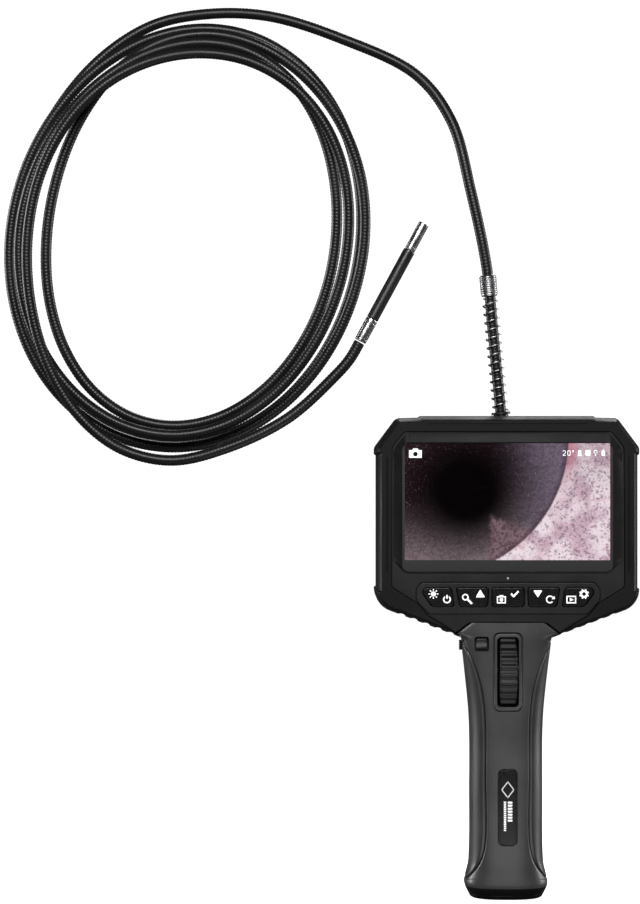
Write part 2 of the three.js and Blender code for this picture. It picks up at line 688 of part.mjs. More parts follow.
// ---------------------------------------------------------------- strain relief, about +Z from the exit
function cableGland() {
  const { radius, collar, seat, bottom, top } = GLAND;
  const bore = TUBE_RADIUS + GAP;
  return turned([
    [bore, bottom],
    [radius, bottom],
    [radius, seat],
    [collar, seat],
    [collar, top],
    [bore, top],
    [bore, bottom],
  ]);
}

const glandNut = () => combine(rod(7.2, -9.6, -7, 6), { cut: [rod(GLAND.hole, -12, -5, 16)] });

function reliefSpring() {
  const { radius, start, length, turns, wire } = SPRING;
  return cord(new Helix(radius, start, length, turns), wire, 8 * turns, 4);
}

function springCollar() {
  return pipe(TUBE_RADIUS + GAP, COLLAR.radius, COLLAR.start, COLLAR.start + COLLAR.length);
}

// ---------------------------------------------------------------- insertion tube
// a half size of the coil at u turns, eased between the crossings of COIL_TURNS that keys name in turn
function halfSize(keys, firstCrossing, u) {
  const step = (u - firstCrossing) * 2;
  const before = Math.floor(step);
  const valueAt = (crossing) => {
    const turn = COIL_TURNS[clamp(Math.floor(crossing / 2), 0, COIL_TURNS.length - 1)];
    return turn[keys[Math.abs(crossing % 2)]];
  };
  return lerp(valueAt(before), valueAt(before + 1), smoothstep(step - before, 0, 1));
}

function coilPoint(u) {
  const angle = Math.PI / 2 + 2 * Math.PI * u;
  const across = halfSize(['left', 'right'], 0.25, u) * Math.cos(angle);
  const up = halfSize(['top', 'bottom'], 0, u) * Math.sin(angle);
  return new THREE.Vector3(COIL.x + across + COIL.skew * up, COIL.backY - COIL.pitch * u, COIL.z + up);
}

function insertionTube() {
  const along = new THREE.Vector3(-Math.sin(LEAN), 0, Math.cos(LEAN));
  const start = GLAND.bottom - GAP;
  const points = [start, 20, 50, 80].map((distance) => EXIT.clone().addScaledVector(along, distance));
  const rise = [
    [-18.5, 2, 383],
    [-29, 6, 422],
    [-48, 10, 447.6],
    [-88, 14, 467.6],
    [-128, COIL.backY, 480.4],
  ];
  points.push(...rise.map((p) => new THREE.Vector3(...p)));
  for (let u = 0; u < COIL_END; u += 1 / 20) points.push(coilPoint(u));
  const tail = [[-117.4, 260.6], [-92.4, 283], [-84.3, 292.2], [TIP.x, TIP.z]];
  points.push(...tail.map(([x, z]) => new THREE.Vector3(x, TIP.y, z)));
  return cord(new THREE.CatmullRomCurve3(points, false, 'centripetal'), TUBE_RADIUS, 240, 6);
}

// ---------------------------------------------------------------- steerable tip, about +Z from the tube's end
const hingeHeight = (i) => FERRULE.length + LINK.firstHinge + LINK.pitch * i;
const SLEEVE_TOP = FERRULE.length + GAP + SLEEVE.length;
const HEAD_TOP = SLEEVE_TOP + GAP + HEAD.length;

// a tubular vertebra; a hinged end slopes away from its hinge line, so that it can rock about +X
function vertebra(z0, z1, hingedBelow, hingedAbove) {
  const half = LINK.radius + 0.2;
  const drop = half * Math.tan(LINK.bend / 2);
  const low = z0 + GAP / 2;
  const high = z1 - GAP / 2;
  const lowSide = low + (hingedBelow ? drop : 0);
  const highSide = high - (hingedAbove ? drop : 0);
  const outline = [
    [0, low],
    [half, lowSide],
    [half, highSide],
    [0, high],
    [-half, highSide],
    [-half, lowSide],
  ];
  return combine(rod(LINK.radius, z0 - 1, z1 + 1, 16), {
    cut: [rod(LINK.bore, z0 - 2, z1 + 2, 10)],
    kept: [prism(outline, -4, 4)],
  });
}

const bendLink = (i) => vertebra(hingeHeight(i), hingeHeight(i + 1), true, true);

// the last vertebra, with the spigot that the camera head slides onto
function headAdapter() {
  return combine(vertebra(hingeHeight(LINK.hinges - 1), SLEEVE_TOP, true, false), {
    added: [pipe(LINK.bore, SPIGOT.radius, SLEEVE_TOP - 1, SLEEVE_TOP + SPIGOT.length, 16)],
  });
}

const bendingSleeve = () => pipe(SLEEVE.inner, SLEEVE.outer, FERRULE.length + GAP, SLEEVE_TOP);

// the ferrule, with the fixed first vertebra standing on it
function tipFerrule() {
  return combine(vertebra(FERRULE.length - 2, hingeHeight(0), false, true), {
    added: [pipe(FERRULE.bore, FERRULE.radius, GAP, FERRULE.length)],
  });
}

const headShell = () => pipe(HEAD.bore, HEAD.radius, SLEEVE_TOP + GAP, HEAD_TOP);
const cameraModule = () => rod(1.9, SLEEVE_TOP + SPIGOT.length + GAP, HEAD_TOP - 2.2, 16);
const ledRing = () => pipe(1.2, 1.9, HEAD_TOP - 1.6, HEAD_TOP - 0.6, 16);
const cameraLens = () => rod(0.9, HEAD_TOP - 1.8, HEAD_TOP - 0.5, 12);

// ---------------------------------------------------------------- fasteners
function rearScrew([x, z], back) {
  return combine(pegY(x, z, SCREW.head, back - SCREW.headDepth, back), {
    added: [pegY(x, z, SCREW.shank, back - SCREW.length, back - 0.9, 8)],
    cut: [block(x - 1.8, x + 1.8, back - 0.8, back + 1, z - 0.4, z + 0.4)],
  });
}

// ---------------------------------------------------------------- assembly
const camera = new THREE.Group();
camera.position.z = -BASE; // puts the handle's flat bottom end at height zero

const strainRelief = new THREE.Group();
strainRelief.position.copy(EXIT);
strainRelief.rotation.y = -LEAN;
camera.add(strainRelief);

const tip = new THREE.Group();
tip.position.set(TIP.x, TIP.y, TIP.z);
tip.rotation.y = TIP.lean;
camera.add(tip);

function place(group, name, geometry, material) {
  const mesh = new THREE.Mesh(geometry, material);
  mesh.name = name;
  group.add(mesh);
}

place(camera, 'guard_frame', guardFrame(), MATERIAL.guard);
place(camera, 'front_housing', frontHousing(), MATERIAL.face);
place(camera, 'rear_housing', rearHousing(), MATERIAL.shell);
place(camera, 'display_glass', displayGlass(), MATERIAL.glass);
place(camera, 'display_panel', displayPanel(), MATERIAL.panel);
place(camera, 'display_frame', panelFrame(), MATERIAL.steel);
place(camera, 'main_board', mainBoard(), MATERIAL.board);
place(camera, 'usb_socket', usbSocket(), MATERIAL.steel);
place(camera, 'card_slot', cardSlot(), MATERIAL.steel);
place(camera, 'port_cover', portCover(), MATERIAL.guard);
place(camera, 'status_led', pegY(0, LED.z, LED.radius, FACE_FRONT, FRONT_WALL_BACK, 10), MATERIAL.light);

place(camera, 'keypad_frame', keypadFrame(), MATERIAL.face);
for (const name of Object.keys(KEYS)) {
  place(camera, name, slab(keyOutline(name, 0), KEY.front, KEY.back), MATERIAL.gloss);
}
const behindKeys = inset(KEYPAD_OUTLINE, KEYPAD_MARGIN);
place(camera, 'keypad_mat', slab(behindKeys, MAT.front, MAT.back), MATERIAL.silicone);
place(camera, 'keypad_board', slab(behindKeys, KEY_BOARD.front, KEY_BOARD.back), MATERIAL.board);

place(camera, 'handle_front_cover', handleFrontCover(), MATERIAL.shell);
place(camera, 'grip_left', sideGrip(-1), MATERIAL.grip);
place(camera, 'grip_right', sideGrip(1), MATERIAL.grip);
place(camera, 'base_cap', baseCap(), MATERIAL.shell);
place(camera, 'label_plate', labelPlate(), MATERIAL.gloss);
place(camera, 'handle_button', handleButton(), MATERIAL.gloss);
place(camera, 'lock_slider', lockSlider(), MATERIAL.gloss);

const bezelOutline = roundedRect(0, WHEEL.z, BEZEL.width, BEZEL.height, BEZEL.corner);
const slotOutline = roundedRect(0, WHEEL.z, SLOT.width, SLOT.height, SLOT.corner);
const wheelBezel = combine(slab(bezelOutline, BEZEL.front, BEZEL.back), {
  cut: [slab(slotOutline, -30, -10)],
});
place(camera, 'wheel_bezel', wheelBezel, MATERIAL.shell);
place(camera, 'thumb_wheel', thumbWheel(), MATERIAL.rubber);
place(camera, 'cable_drum', cableDrum(), MATERIAL.brass);
place(camera, 'wheel_axle', wheelAxle(), MATERIAL.steel);
place(camera, 'axle_bush_left', axleBush(-1), MATERIAL.brass);
place(camera, 'axle_bush_right', axleBush(1), MATERIAL.brass);
place(camera, 'wheel_bracket', wheelBracket(), MATERIAL.steel);
place(camera, 'steering_sheath_left', steeringSheath(-1), MATERIAL.steel);
place(camera, 'steering_sheath_right', steeringSheath(1), MATERIAL.steel);

place(camera, 'battery_cell', batteryCell(), MATERIAL.cell);
place(camera, 'battery_contact', contactPlate(), MATERIAL.brass);
place(camera, 'battery_spring', contactSpring(), MATERIAL.steel);

HEAD_SCREWS.forEach((spot, i) => {
  place(camera, `head_screw_${i + 1}`, rearScrew(spot, HEAD_BACK), MATERIAL.steel);
});
HANDLE_SCREWS.forEach((spot, i) => {
  place(camera, `handle_screw_${i + 1}`, rearScrew(spot, HANDLE_SCREW_BACK), MATERIAL.steel);
});

place(strainRelief, 'cable_gland', cableGland(), MATERIAL.gloss);
place(strainRelief, 'gland_nut', glandNut(), MATERIAL.brass);
place(strainRelief, 'relief_spring', reliefSpring(), MATERIAL.steel);
place(strainRelief, 'spring_collar', springCollar(), MATERIAL.steel);
place(camera, 'insertion_tube', insertionTube(), MATERIAL.tube);

place(tip, 'tip_ferrule', tipFerrule(), MATERIAL.steel);
for (let i = 0; i + 1 < LINK.hinges; i += 1) place(tip, `bend_link_${i + 1}`, bendLink(i), MATERIAL.steel);
place(tip, 'head_adapter', headAdapter(), MATERIAL.steel);
place(tip, 'bending_sleeve', bendingSleeve(), MATERIAL.rubber);
place(tip, 'head_shell', headShell(), MATERIAL.steel);
place(tip, 'camera_module', cameraModule(), MATERIAL.gloss);
place(tip, 'led_ring', ledRing(), MATERIAL.light);
place(tip, 'camera_lens', cameraLens(), MATERIAL.glass);

export default camera;
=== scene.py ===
"""Looks of a handheld inspection camera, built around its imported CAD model.

Lengths are in millimetres in this file and are turned into metres when a mesh is made. +Z runs up the
handle and the display faces -Y. Heights are counted from BASE below the handle's bottom end, and each
piece is lowered by BASE when it is finished, so that the origin is the centre of that end.
"""
import math
from bisect import bisect_left

import bmesh
import bpy
from mathutils import Matrix, Vector


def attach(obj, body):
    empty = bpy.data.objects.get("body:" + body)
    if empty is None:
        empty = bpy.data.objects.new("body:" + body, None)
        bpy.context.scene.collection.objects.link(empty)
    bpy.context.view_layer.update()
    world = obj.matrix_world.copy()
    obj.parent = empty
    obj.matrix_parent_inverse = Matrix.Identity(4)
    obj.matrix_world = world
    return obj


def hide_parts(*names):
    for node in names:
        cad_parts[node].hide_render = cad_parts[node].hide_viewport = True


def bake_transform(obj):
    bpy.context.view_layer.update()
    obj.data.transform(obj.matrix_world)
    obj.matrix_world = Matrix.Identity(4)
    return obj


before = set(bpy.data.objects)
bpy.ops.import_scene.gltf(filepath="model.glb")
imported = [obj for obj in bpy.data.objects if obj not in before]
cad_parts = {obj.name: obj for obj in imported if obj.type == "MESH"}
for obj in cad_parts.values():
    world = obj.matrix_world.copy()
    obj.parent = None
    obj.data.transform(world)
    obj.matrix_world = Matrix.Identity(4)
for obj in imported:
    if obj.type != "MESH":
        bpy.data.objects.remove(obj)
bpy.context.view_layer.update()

MM = 0.001

# ---------------------------------------------------------------- sizes shared with the CAD model
GAP = 0.3
WALL = 2.6
GUARD_FRONT, GUARD_BACK = -21.0, 13.0
GUARD_DEPTHS = [  # how far the guard's outline is drawn in at each depth
    (-21, 2.8), (-20.6, 2.45), (-19.4, 1.7), (-17, 1), (-14, 0.35), (-10, 0), (12.4, 0), (13, 0.5),
]
FACE_FRONT, LIP_BACK, FRONT_WALL_BACK = -20.0, -17.0, -15.4
HEAD_BACK = 20.0
GLASS = {"width": 117.4, "bottom": 177.1, "top": 250.6, "front": -16.7, "back": -15.5}
PANEL = {"width": 115.0, "bottom": 181.6, "top": 250.0, "front": -15.2, "back": -11.8}
PICTURE = {"half": 54.9, "bottom": 184.7, "top": 247.2}  # the lit part of the display
KEY = {"bottom": 160.1, "top": 170.3, "front": -21.0, "back": -16.8, "corner": 2.2}
KEYPAD_FRONT = -21.3
LED_HEIGHT = 175.2

# the handle's cross-sections: height, half width, front, back and the power of the superellipse
BASE = 3.0
HANDLE_SECTIONS = [
    (BASE, 19.2, -16.4, 16.2, 2.6),
    (8.5, 22.0, -18.9, 18.2, 2.6),
    (11.5, 22.5, -19.2, 18.8, 2.6),
    (23, 20.1, -18.4, 18.0, 2.6),
    (60, 19.7, -18.2, 17.6, 2.6),
    (98, 19.9, -18.8, 18.0, 2.8),
    (125, 22.2, -19.6, 19.0, 3.8),
    (141, 23.8, -20.0, 20.0, 7.0),
    (143.4, 24.2, -20.0, 20.0, 9.0),
    (145.6, 27.9, -20.0, 20.0, 16.0),
    (146.4, 27.6, -20.0, 20.0, 20.0),
    (151.4, 20.8, -20.0, 20.0, 20.0),
]
CAP_TOP = BASE + 2.4
PAINTED_SHADE_TOP = 9.3  # below this the end of the handle is painted black: painted shade on its downward-facing end
GRIP_EDGE = [  # the inner edge of the right-hand grip, seen from the front
    (26, 142.4), (21.2, 135.3), (15.4, 120.5), (12.6, 103.7), (12.2, 68),
    (12.4, 33.5), (15.0, 23), (20.5, 15), (26, 9.6),
]
GRIP_TOP = 141.2
PANEL_THICK = 2.2  # of the covers and grips that form the handle's skin
LABEL = {"z": 52.8, "width": 10.0, "height": 40.8, "front": -18.5, "back": -17.2}
BUTTON = {"x": -14.0, "z": 140.1, "size": 5.7, "front": -18.4, "back": -12.6}
SLIDER = {"front": 4.2, "back": 7.8, "bottom": 135.4, "top": 140.6, "outer": 24.9, "inner": 17.5}
SLIDER_TRAVEL = 2.8
WHEEL = {"radius": 21.5, "width": 8.9, "ribs": 30, "rib_depth": 0.9, "y": -7.2, "z": 125.2}
BEZEL = {"width": 15.3, "height": 41.8, "corner": 3.4, "front": -20.6, "back": -18.2}
SLOT = {"width": 11.6, "height": 37.4, "corner": 2.2}
HEAD_SCREWS = [(-62.4, 236), (62.4, 236), (-59.8, 173.6), (59.8, 173.6)]
HANDLE_SCREWS = [(-7.6, 89), (7.6, 89)]
SCREW_WELL, SCREW_HOLE = 2.9, 1.5  # radii of the sunk seat of a screw's head and of the hole for its shank
PORT = {"front": -9.0, "back": -0.6, "bottom": 193.0, "top": 225.0, "x": 70.0}

TUBE_RADIUS = 3.0
RIB_PITCH = 1.78
LEAN = math.radians(5.5)
EXIT = Vector((-2.4, 0, 261.9))
SPRING = {"radius": 3.9, "wire": 0.5, "start": 3.0, "length": 61.0, "turns": 13.4}
COLLAR = {"start": 65.0, "length": 11.5, "radius": 4.7}
COIL = {"x": -171.0, "z": 358.6, "skew": 0.075, "back": 16.5, "pitch": 6.4}
COIL_TURNS = [  # half sizes where each turn crosses the top, left, bottom and right
    (123, 96, 112, 93),
    (114, 97.5, 113.5, 95),
    (110, 77, 102, 79.5),
    (104.5, 91, 107, 86),
    (98, 86, 120.6, 97),
]
COIL_END = 4.56
TIP = Vector((-78.8, COIL["back"] - COIL["pitch"] * COIL_END, 301.6))
TIP_LEAN = math.radians(28.5)
FERRULE_LENGTH = 13.5
SLEEVE = {"length": 41.6, "outer": 3.2, "inner": 2.75}
FIRST_HINGE = 18.7
HINGE_PITCH = 8.0
HEAD_LENGTH = 16.2


# ---------------------------------------------------------------- outlines seen from the front, (x, z)
def mirrored(half):
    return half + [(-x, z) for x, z in reversed(half)]


def flipped(points):
    return [(-x, z) for x, z in reversed(points)]


def arc(x, z, radius, start, end, steps):
    angles = [math.radians(start + (end - start) * i / steps) for i in range(steps + 1)]
    return [(x + radius * math.cos(a), z + radius * math.sin(a)) for a in angles]


def disc(x, z, radius, corners=24):
    return arc(x, z, radius, 0, 360 - 360 / corners, corners - 1)


def rounded_rect(x, z, width, height, radius, steps=6):
    points = []
    for sx, sz, start in ((1, -1, -90), (1, 1, 0), (-1, 1, 90), (-1, -1, 180)):
        corner_x = x + sx * (width / 2 - radius)
        corner_z = z + sz * (height / 2 - radius)
        points += arc(corner_x, corner_z, radius, start, start + 90, steps)
    return points


def inset(points, distance):
    """Moves every edge of a counter-clockwise outline inward."""
    moved = []
    for i, here in enumerate(points):
        before = Vector(here) - Vector(points[i - 1])
        after = Vector(points[(i + 1) % len(points)]) - Vector(here)
        a, b = before.normalized(), after.normalized()
        shift = distance / (1 + a.dot(b))
        moved.append((here[0] - (a.y + b.y) * shift, here[1] + (a.x + b.x) * shift))
    return moved


def softened(points, radius, steps=6):
    """Replaces every corner with a curve that starts at most radius away from it."""
    result = []
    for i, corner in enumerate(points):
        here = Vector(corner)
        ends = []
        for other in (Vector(points[i - 1]), Vector(points[(i + 1) % len(points)])):
            reach = min(radius, (other - here).length * 0.45)
            ends.append(here + (other - here).normalized() * reach)
        for step in range(steps + 1):
            t = step / steps
            p = ends[0] * (1 - t) ** 2 + here * 2 * t * (1 - t) + ends[1] * t ** 2
            result.append((p.x, p.y))
    return result


HEAD_OUTLINE = mirrored([
    (24.6, 143),
    *arc(58.4, 169.2, 12.6, -66, 0, 14),
    (70, 169.8),
    (70, 240.6),
    (71, 241.4),
    *arc(67, 243.6, 4, 5, 38, 6),
    *arc(57.2, 256.8, 4, 42, 86, 8),
    (47.6, 261),
    (46.4, 261.9),
])
HOUSING_CORNERS = mirrored([
    (24.6, 144.6), (30, 147.2), (58.4, 160.2), (66, 170), (66, 242.4), (55.4, 257.2), (45, 258.8)])
HOUSING_OUTLINE = softened(HOUSING_CORNERS, 3)
FACE_OUTLINE = softened(mirrored([
    (27, 145.7), (43.2, 155.8), (47.5, 161.6), (61.9, 170.6), (61.6, 245), (55, 253.3)]), 2)
COVER_TOP = [(24, 141), (28, 145.9), (20.5, 151.5)]
KEYPAD_OUTLINE = softened(mirrored([(42.6, 156.4), (49, 163.7), (49, 169.6), (46, 172.9)]), 1.8)
RECESS_FRONT = [(54.4, 177.3), (61, 184.2), (60.6, 244.4), (54.5, 252.3)]
RECESS_BACK = [(54.2, 178.7), (56.4, 180.7), (56.4, 245), (54.4, 247.5)]
KEY_LOW, KEY_HIGH = KEY["bottom"], KEY["top"]
INNER_KEY = [(10.9, KEY_LOW), (25.9, KEY_LOW), (27.6, KEY_HIGH), (10.4, KEY_HIGH)]
OUTER_KEY = [(28.7, KEY_LOW), (40.6, KEY_LOW), (46, KEY_HIGH - 2.6), (44.4, KEY_HIGH), (30.3, KEY_HIGH)]
KEYS = {
    "key_light": flipped(OUTER_KEY),
    "key_zoom": flipped(INNER_KEY),
    "key_capture": mirrored([(8.6, KEY_LOW), (8.6, KEY_HIGH)]),
    "key_rotate": INNER_KEY,
    "key_playback": OUTER_KEY,
}
KEY_BODIES = {name: name.replace("key_", "") + "_key" for name in KEYS}


def glass_outline(grow):
    height = GLASS["top"] - GLASS["bottom"] + 2 * grow
    return rounded_rect(0, (GLASS["bottom"] + GLASS["top"]) / 2, GLASS["width"] + 2 * grow, height, 4)


def key_outline(name, grow):
    return softened(inset(KEYS[name], -grow), KEY["corner"], 6)


# ---------------------------------------------------------------- meshes
def new_object(verts, faces):
    mesh = bpy.data.meshes.new("mesh")
    mesh.from_pydata([Vector(v) * MM for v in verts], [], faces)
    work = bmesh.new()
    work.from_mesh(mesh)
    bmesh.ops.recalc_face_normals(work, faces=work.faces)
    work.to_mesh(mesh)
    work.free()
    obj = bpy.data.objects.new("solid", mesh)
    bpy.context.scene.collection.objects.link(obj)
    return obj


def skin(rings, loop=False):
    """A closed solid over rings of equal length, capped at both ends unless the rings close a loop."""
    count = len(rings[0])
    total = len(rings)
    faces = []
    for a in range(total if loop else total - 1):
        low, high = a * count, (a + 1) % total * count
        for i in range(count):
            j = (i + 1) % count
            faces.append((low + i, low + j, high + j, high + i))
    if not loop:
        faces.append(tuple(range(count)))
        faces.append(tuple(range((total - 1) * count, total * count)))
    return new_object([p for ring in rings for p in ring], faces)


def slab(outline, front, back, edge=0.0, steps=4):
    """An outline extruded along Y, with both rims rounded by edge."""
    levels = [(front, 0.0), (back, 0.0)]
    if edge:
        turns = [math.pi / 2 * i / steps for i in range(steps + 1)]
        levels = [(front + edge * (1 - math.sin(a)), edge * (1 - math.cos(a))) for a in reversed(turns)]
        levels += [(back - edge * (1 - math.sin(a)), edge * (1 - math.cos(a))) for a in turns]
    rings = []
    for y, shrink in levels:
        moved = inset(outline, shrink) if shrink else outline
        rings.append([(x, y, z) for x, z in moved])
    return skin(rings)


def block(x0, x1, y0, y1, z0, z1):
    return slab([(x1, z0), (x1, z1), (x0, z1), (x0, z0)], y0, y1)


def prism(outline, x0, x1):
    """An outline of (y, z) points extruded along X."""
    return skin([[(x, y, z) for y, z in outline] for x in (x0, x1)])


def turned(profile, place=None, segments=40, loop=False):
    """A piece turned about +Z from (radius, z) points, then moved to its place."""
    angles = [2 * math.pi * i / segments for i in range(segments)]
    obj = skin([[(r * math.cos(a), r * math.sin(a), z) for a in angles] for r, z in profile], loop)
    if place is not None:
        obj.data.transform(place)
    return obj


def swept(path, radii, sides):
    """A round cord along a path of points, with its own radius at every point."""
    rings = []
    for i, centre in enumerate(path):
        along = (path[min(i + 1, len(path) - 1)] - path[max(i - 1, 0)]).normalized()
        side = along.cross(Vector((0, 1, 0))).normalized()
        if side.length < 0.5:
            side = Vector((1, 0, 0))
        up = side.cross(along)
        ring = []
        for k in range(sides):
            a = 2 * math.pi * k / sides
            ring.append(centre + (side * math.cos(a) + up * math.sin(a)) * radii[i % len(radii)])
        rings.append(ring)
    return skin(rings)


def discard(obj):
    mesh = obj.data
    bpy.data.objects.remove(obj)
    bpy.data.meshes.remove(mesh)


def triangulate(obj):
    work = bmesh.new()
    work.from_mesh(obj.data)
    bmesh.ops.triangulate(work, faces=work.faces)
    work.to_mesh(obj.data)
    work.free()


def shaped(base, operation, tools):
    """The base joined with, or cut by, each tool in turn. The tools are used up."""
    triangulate(base)
    for tool in tools:
        triangulate(tool)
        change = base.modifiers.new("shape", "BOOLEAN")
        change.operation = operation
        change.solver = "MANIFOLD"
        change.object = tool
    bpy.context.view_layer.update()
    evaluated = base.evaluated_get(bpy.context.evaluated_depsgraph_get())
    result = bpy.data.meshes.new_from_object(evaluated)
    result.materials.clear()
    base.modifiers.clear()
    before, base.data = base.data, result
    bpy.data.meshes.remove(before)
    for tool in tools:
        discard(tool)
    return base


def cut(base, *tools):
    return shaped(base, "DIFFERENCE", tools)


def joined(base, *tools):
    return shaped(base, "UNION", tools)


def with_parts(base, others, material_index=0):
    """Adds other shells to the base's mesh, wearing the material with the given index."""
    work = bmesh.new()
    work.from_mesh(base.data)
    for other in others:
        for polygon in other.data.polygons:
            polygon.material_index = material_index
        work.from_mesh(other.data)
    work.to_mesh(base.data)
    work.free()
    for other in others:
        discard(other)
    return base


def piece(name, obj, nodes, body, materials, sharp=38):
    """Names a finished mesh, dresses it and fixes it to a body in place of its CAD nodes."""
    obj.name = name
    for material in materials:
        obj.data.materials.append(material)
    obj.data.transform(Matrix.Translation((0, 0, -BASE * MM)))
    obj.data.shade_smooth()
    obj.data.set_sharp_from_angle(angle=math.radians(sharp))
    weighted = obj.modifiers.new("normals", "WEIGHTED_NORMAL")
    weighted.keep_sharp = True
    if body:
        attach(obj, body)
    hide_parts(*nodes)
    return obj


def placed(position, lean):
    """The matrix that moves a piece made about +Z to a point, leaning in the XZ plane."""
    return Matrix.Translation(position * MM) @ Matrix.Rotation(lean, 4, "Y")


AT_EXIT = placed(EXIT, -LEAN)
AT_TIP = placed(TIP, TIP_LEAN)


def gland_hole():
    return turned([(4.3, -12), (4.3, 4.2)], AT_EXIT, 24)


def hermite(t, start, end, leave, arrive):
    """A value or point a share t of the way from start to end, with the given slopes at both ends."""
    return (start * (2 * t ** 3 - 3 * t ** 2 + 1) + leave * (t ** 3 - 2 * t ** 2 + t)
            + end * (3 * t ** 2 - 2 * t ** 3) + arrive * (t ** 3 - t ** 2))


def spline(points, per_span):
    """Points along a smooth centripetal curve through the given points."""
    points = [Vector(p) for p in points]
    padded = [points[0] * 2 - points[1], *points, points[-1] * 2 - points[-2]]
    result = []
    for a, b, c, d in zip(padded, padded[1:], padded[2:], padded[3:]):
        before, here, after = (math.sqrt((q - p).length) for p, q in ((a, b), (b, c), (c, d)))
        leave = ((b - a) / before - (c - a) / (before + here) + (c - b) / here) * here
        arrive = ((c - b) / here - (d - b) / (here + after) + (d - c) / after) * here
        result += [hermite(step / per_span, b, c, leave, arrive) for step in range(per_span)]
    return result + [points[-1]]


def resampled(path, spacing):
    """The path with its points moved to an even spacing."""
    result = [path[0]]
    left = spacing
    for a, b in zip(path, path[1:]):
        length = (b - a).length
        done = 0.0
        while length - done >= left:
            done += left
            result.append(a.lerp(b, done / length))
            left = spacing
        left -= length - done
    return result


# ---------------------------------------------------------------- materials
def srgb(red, green, blue):
    """A colour given as the 0 to 255 numbers of a screen, as the linear values a shader takes."""
    linear = []
    for value in (red, green, blue):
        share = value / 255
        linear.append(share / 12.92 if share <= 0.04045 else ((share + 0.055) / 1.055) ** 2.4)
    return (*linear, 1.0)


def grey(value):
    return srgb(value, value, value)


class Surface:
    """A material and short calls for the nodes that make it. Positions are in millimetres."""

    def __init__(self, name, roughness, metallic=0.0):
        self.material = bpy.data.materials.new(name)
        self.material.use_nodes = True
        self.tree = self.material.node_tree
        self.shader = self.tree.nodes["Principled BSDF"]
        self.give("Roughness", roughness)
        self.give("Metallic", metallic)
        coordinates = self.node("ShaderNodeTexCoord").outputs["Object"]
        to_heights = {0: coordinates, 1: (1 / MM, 1 / MM, 1 / MM), 2: (0, 0, BASE)}
        self.place = self.node("ShaderNodeVectorMath", to_heights, operation="MULTIPLY_ADD").outputs[0]

    def node(self, kind, inputs=None, **settings):
        node = self.tree.nodes.new(kind)
        for key, value in settings.items():
            setattr(node, key, value)
        for key, value in (inputs or {}).items():
            self.plug(value, node.inputs[key])
        return node

    def plug(self, value, socket):
        if isinstance(value, bpy.types.NodeSocket):
            self.tree.links.new(value, socket)
        else:
            socket.default_value = value

    def give(self, name, value):
        self.plug(value, self.shader.inputs[name])

    def axes(self):
        return self.node("ShaderNodeSeparateXYZ", {0: self.place}).outputs

    def stretched(self, x, y, z):
        inputs = {0: self.place, 1: (x, y, z)}
        return self.node("ShaderNodeVectorMath", inputs, operation="MULTIPLY").outputs[0]

    def math(self, operation, *values):
        return self.node("ShaderNodeMath", dict(enumerate(values)), operation=operation).outputs[0]

    def plus(self, a, b):
        return self.math("ADD", a, b)

    def minus(self, a, b):
        return self.math("SUBTRACT", a, b)

    def times(self, a, b):
        return self.math("MULTIPLY", a, b)

    def spread(self, value, low, high, out_low=0.0, out_high=1.0):
        inputs = {0: value, 1: low, 2: high, 3: out_low, 4: out_high}
        return self.node("ShaderNodeMapRange", inputs, interpolation_type="SMOOTHSTEP").outputs[0]

    def noise(self, scale, detail=3.0, place=None):
        """Soft noise from 0 to 1 with about scale waves in a millimetre."""
        inputs = {"Vector": place or self.place, "Scale": scale, "Detail": detail}
        return self.node("ShaderNodeTexNoise", inputs).outputs[0]

    def cells(self, scale, place=None):
        inputs = {"Vector": place or self.place, "Scale": scale}
        return self.node("ShaderNodeTexVoronoi", inputs).outputs[0]

    def mix(self, share, a, b):
        return self.node("ShaderNodeMix", {0: share, 6: a, 7: b}, data_type="RGBA").outputs[2]

    def bump(self, height, distance, edge=0.0):
        """Relief whose height runs from 0 to distance millimetres, on edges rounded by edge."""
        inputs = {"Height": height, "Distance": distance * MM}
        if edge:
            inputs["Normal"] = self.node("ShaderNodeBevel", {"Radius": edge * MM}, samples=4).outputs[0]
        self.give("Normal", self.node("ShaderNodeBump", inputs).outputs[0])


def moulded(name, shade, roughness, grain, depth, gloss=0.5, shaded_below=0.0):
    """Moulded plastic or rubber with a spark-eroded grain, faint clouding and rounded edges.

    Below the given height it is painted black and duller: painted shade on the downward-facing end of the
    handle.
    """
    s = Surface(name, roughness)
    clouds = s.noise(0.045, 2.0)
    fine = s.noise(grain, 2.0)
    tone = s.mix(s.spread(clouds, 0.3, 0.7), grey(shade * 0.9), grey(shade * 1.08))
    tone = s.mix(s.spread(fine, 0.3, 0.75, 0, 0.35), tone, grey(shade * 1.35))
    # painted shade: below the given height the colour turns black and the gloss drops, where the handle's
    # end faces down
    if shaded_below:
        above = s.spread(s.axes()[2], shaded_below - 0.1, shaded_below + 0.1)
        tone = s.mix(above, grey(16), tone)
        gloss = s.times(s.plus(s.times(above, 0.85), 0.15), gloss)
    s.give("Base Color", tone)
    s.give("Specular IOR Level", gloss)
    worn = s.plus(s.spread(clouds, 0.35, 0.75, -0.05, 0.05), s.spread(fine, 0.3, 0.7, -0.06, 0.06))
    s.give("Roughness", s.plus(worn, roughness))
    s.bump(fine, depth, 0.35)
    return s.material


def gloss_black():
    s = Surface("gloss_black", 0.25)
    dust = s.noise(3.2, 2.0)
    s.give("Base Color", s.mix(s.spread(dust, 0.45, 0.8), grey(9), grey(22)))
    s.give("Roughness", s.spread(dust, 0.35, 0.75, 0.2, 0.45))
    s.give("Specular IOR Level", 0.25)
    s.bump(s.noise(1.4, 2.0), 0.008, 0.3)
    return s.material


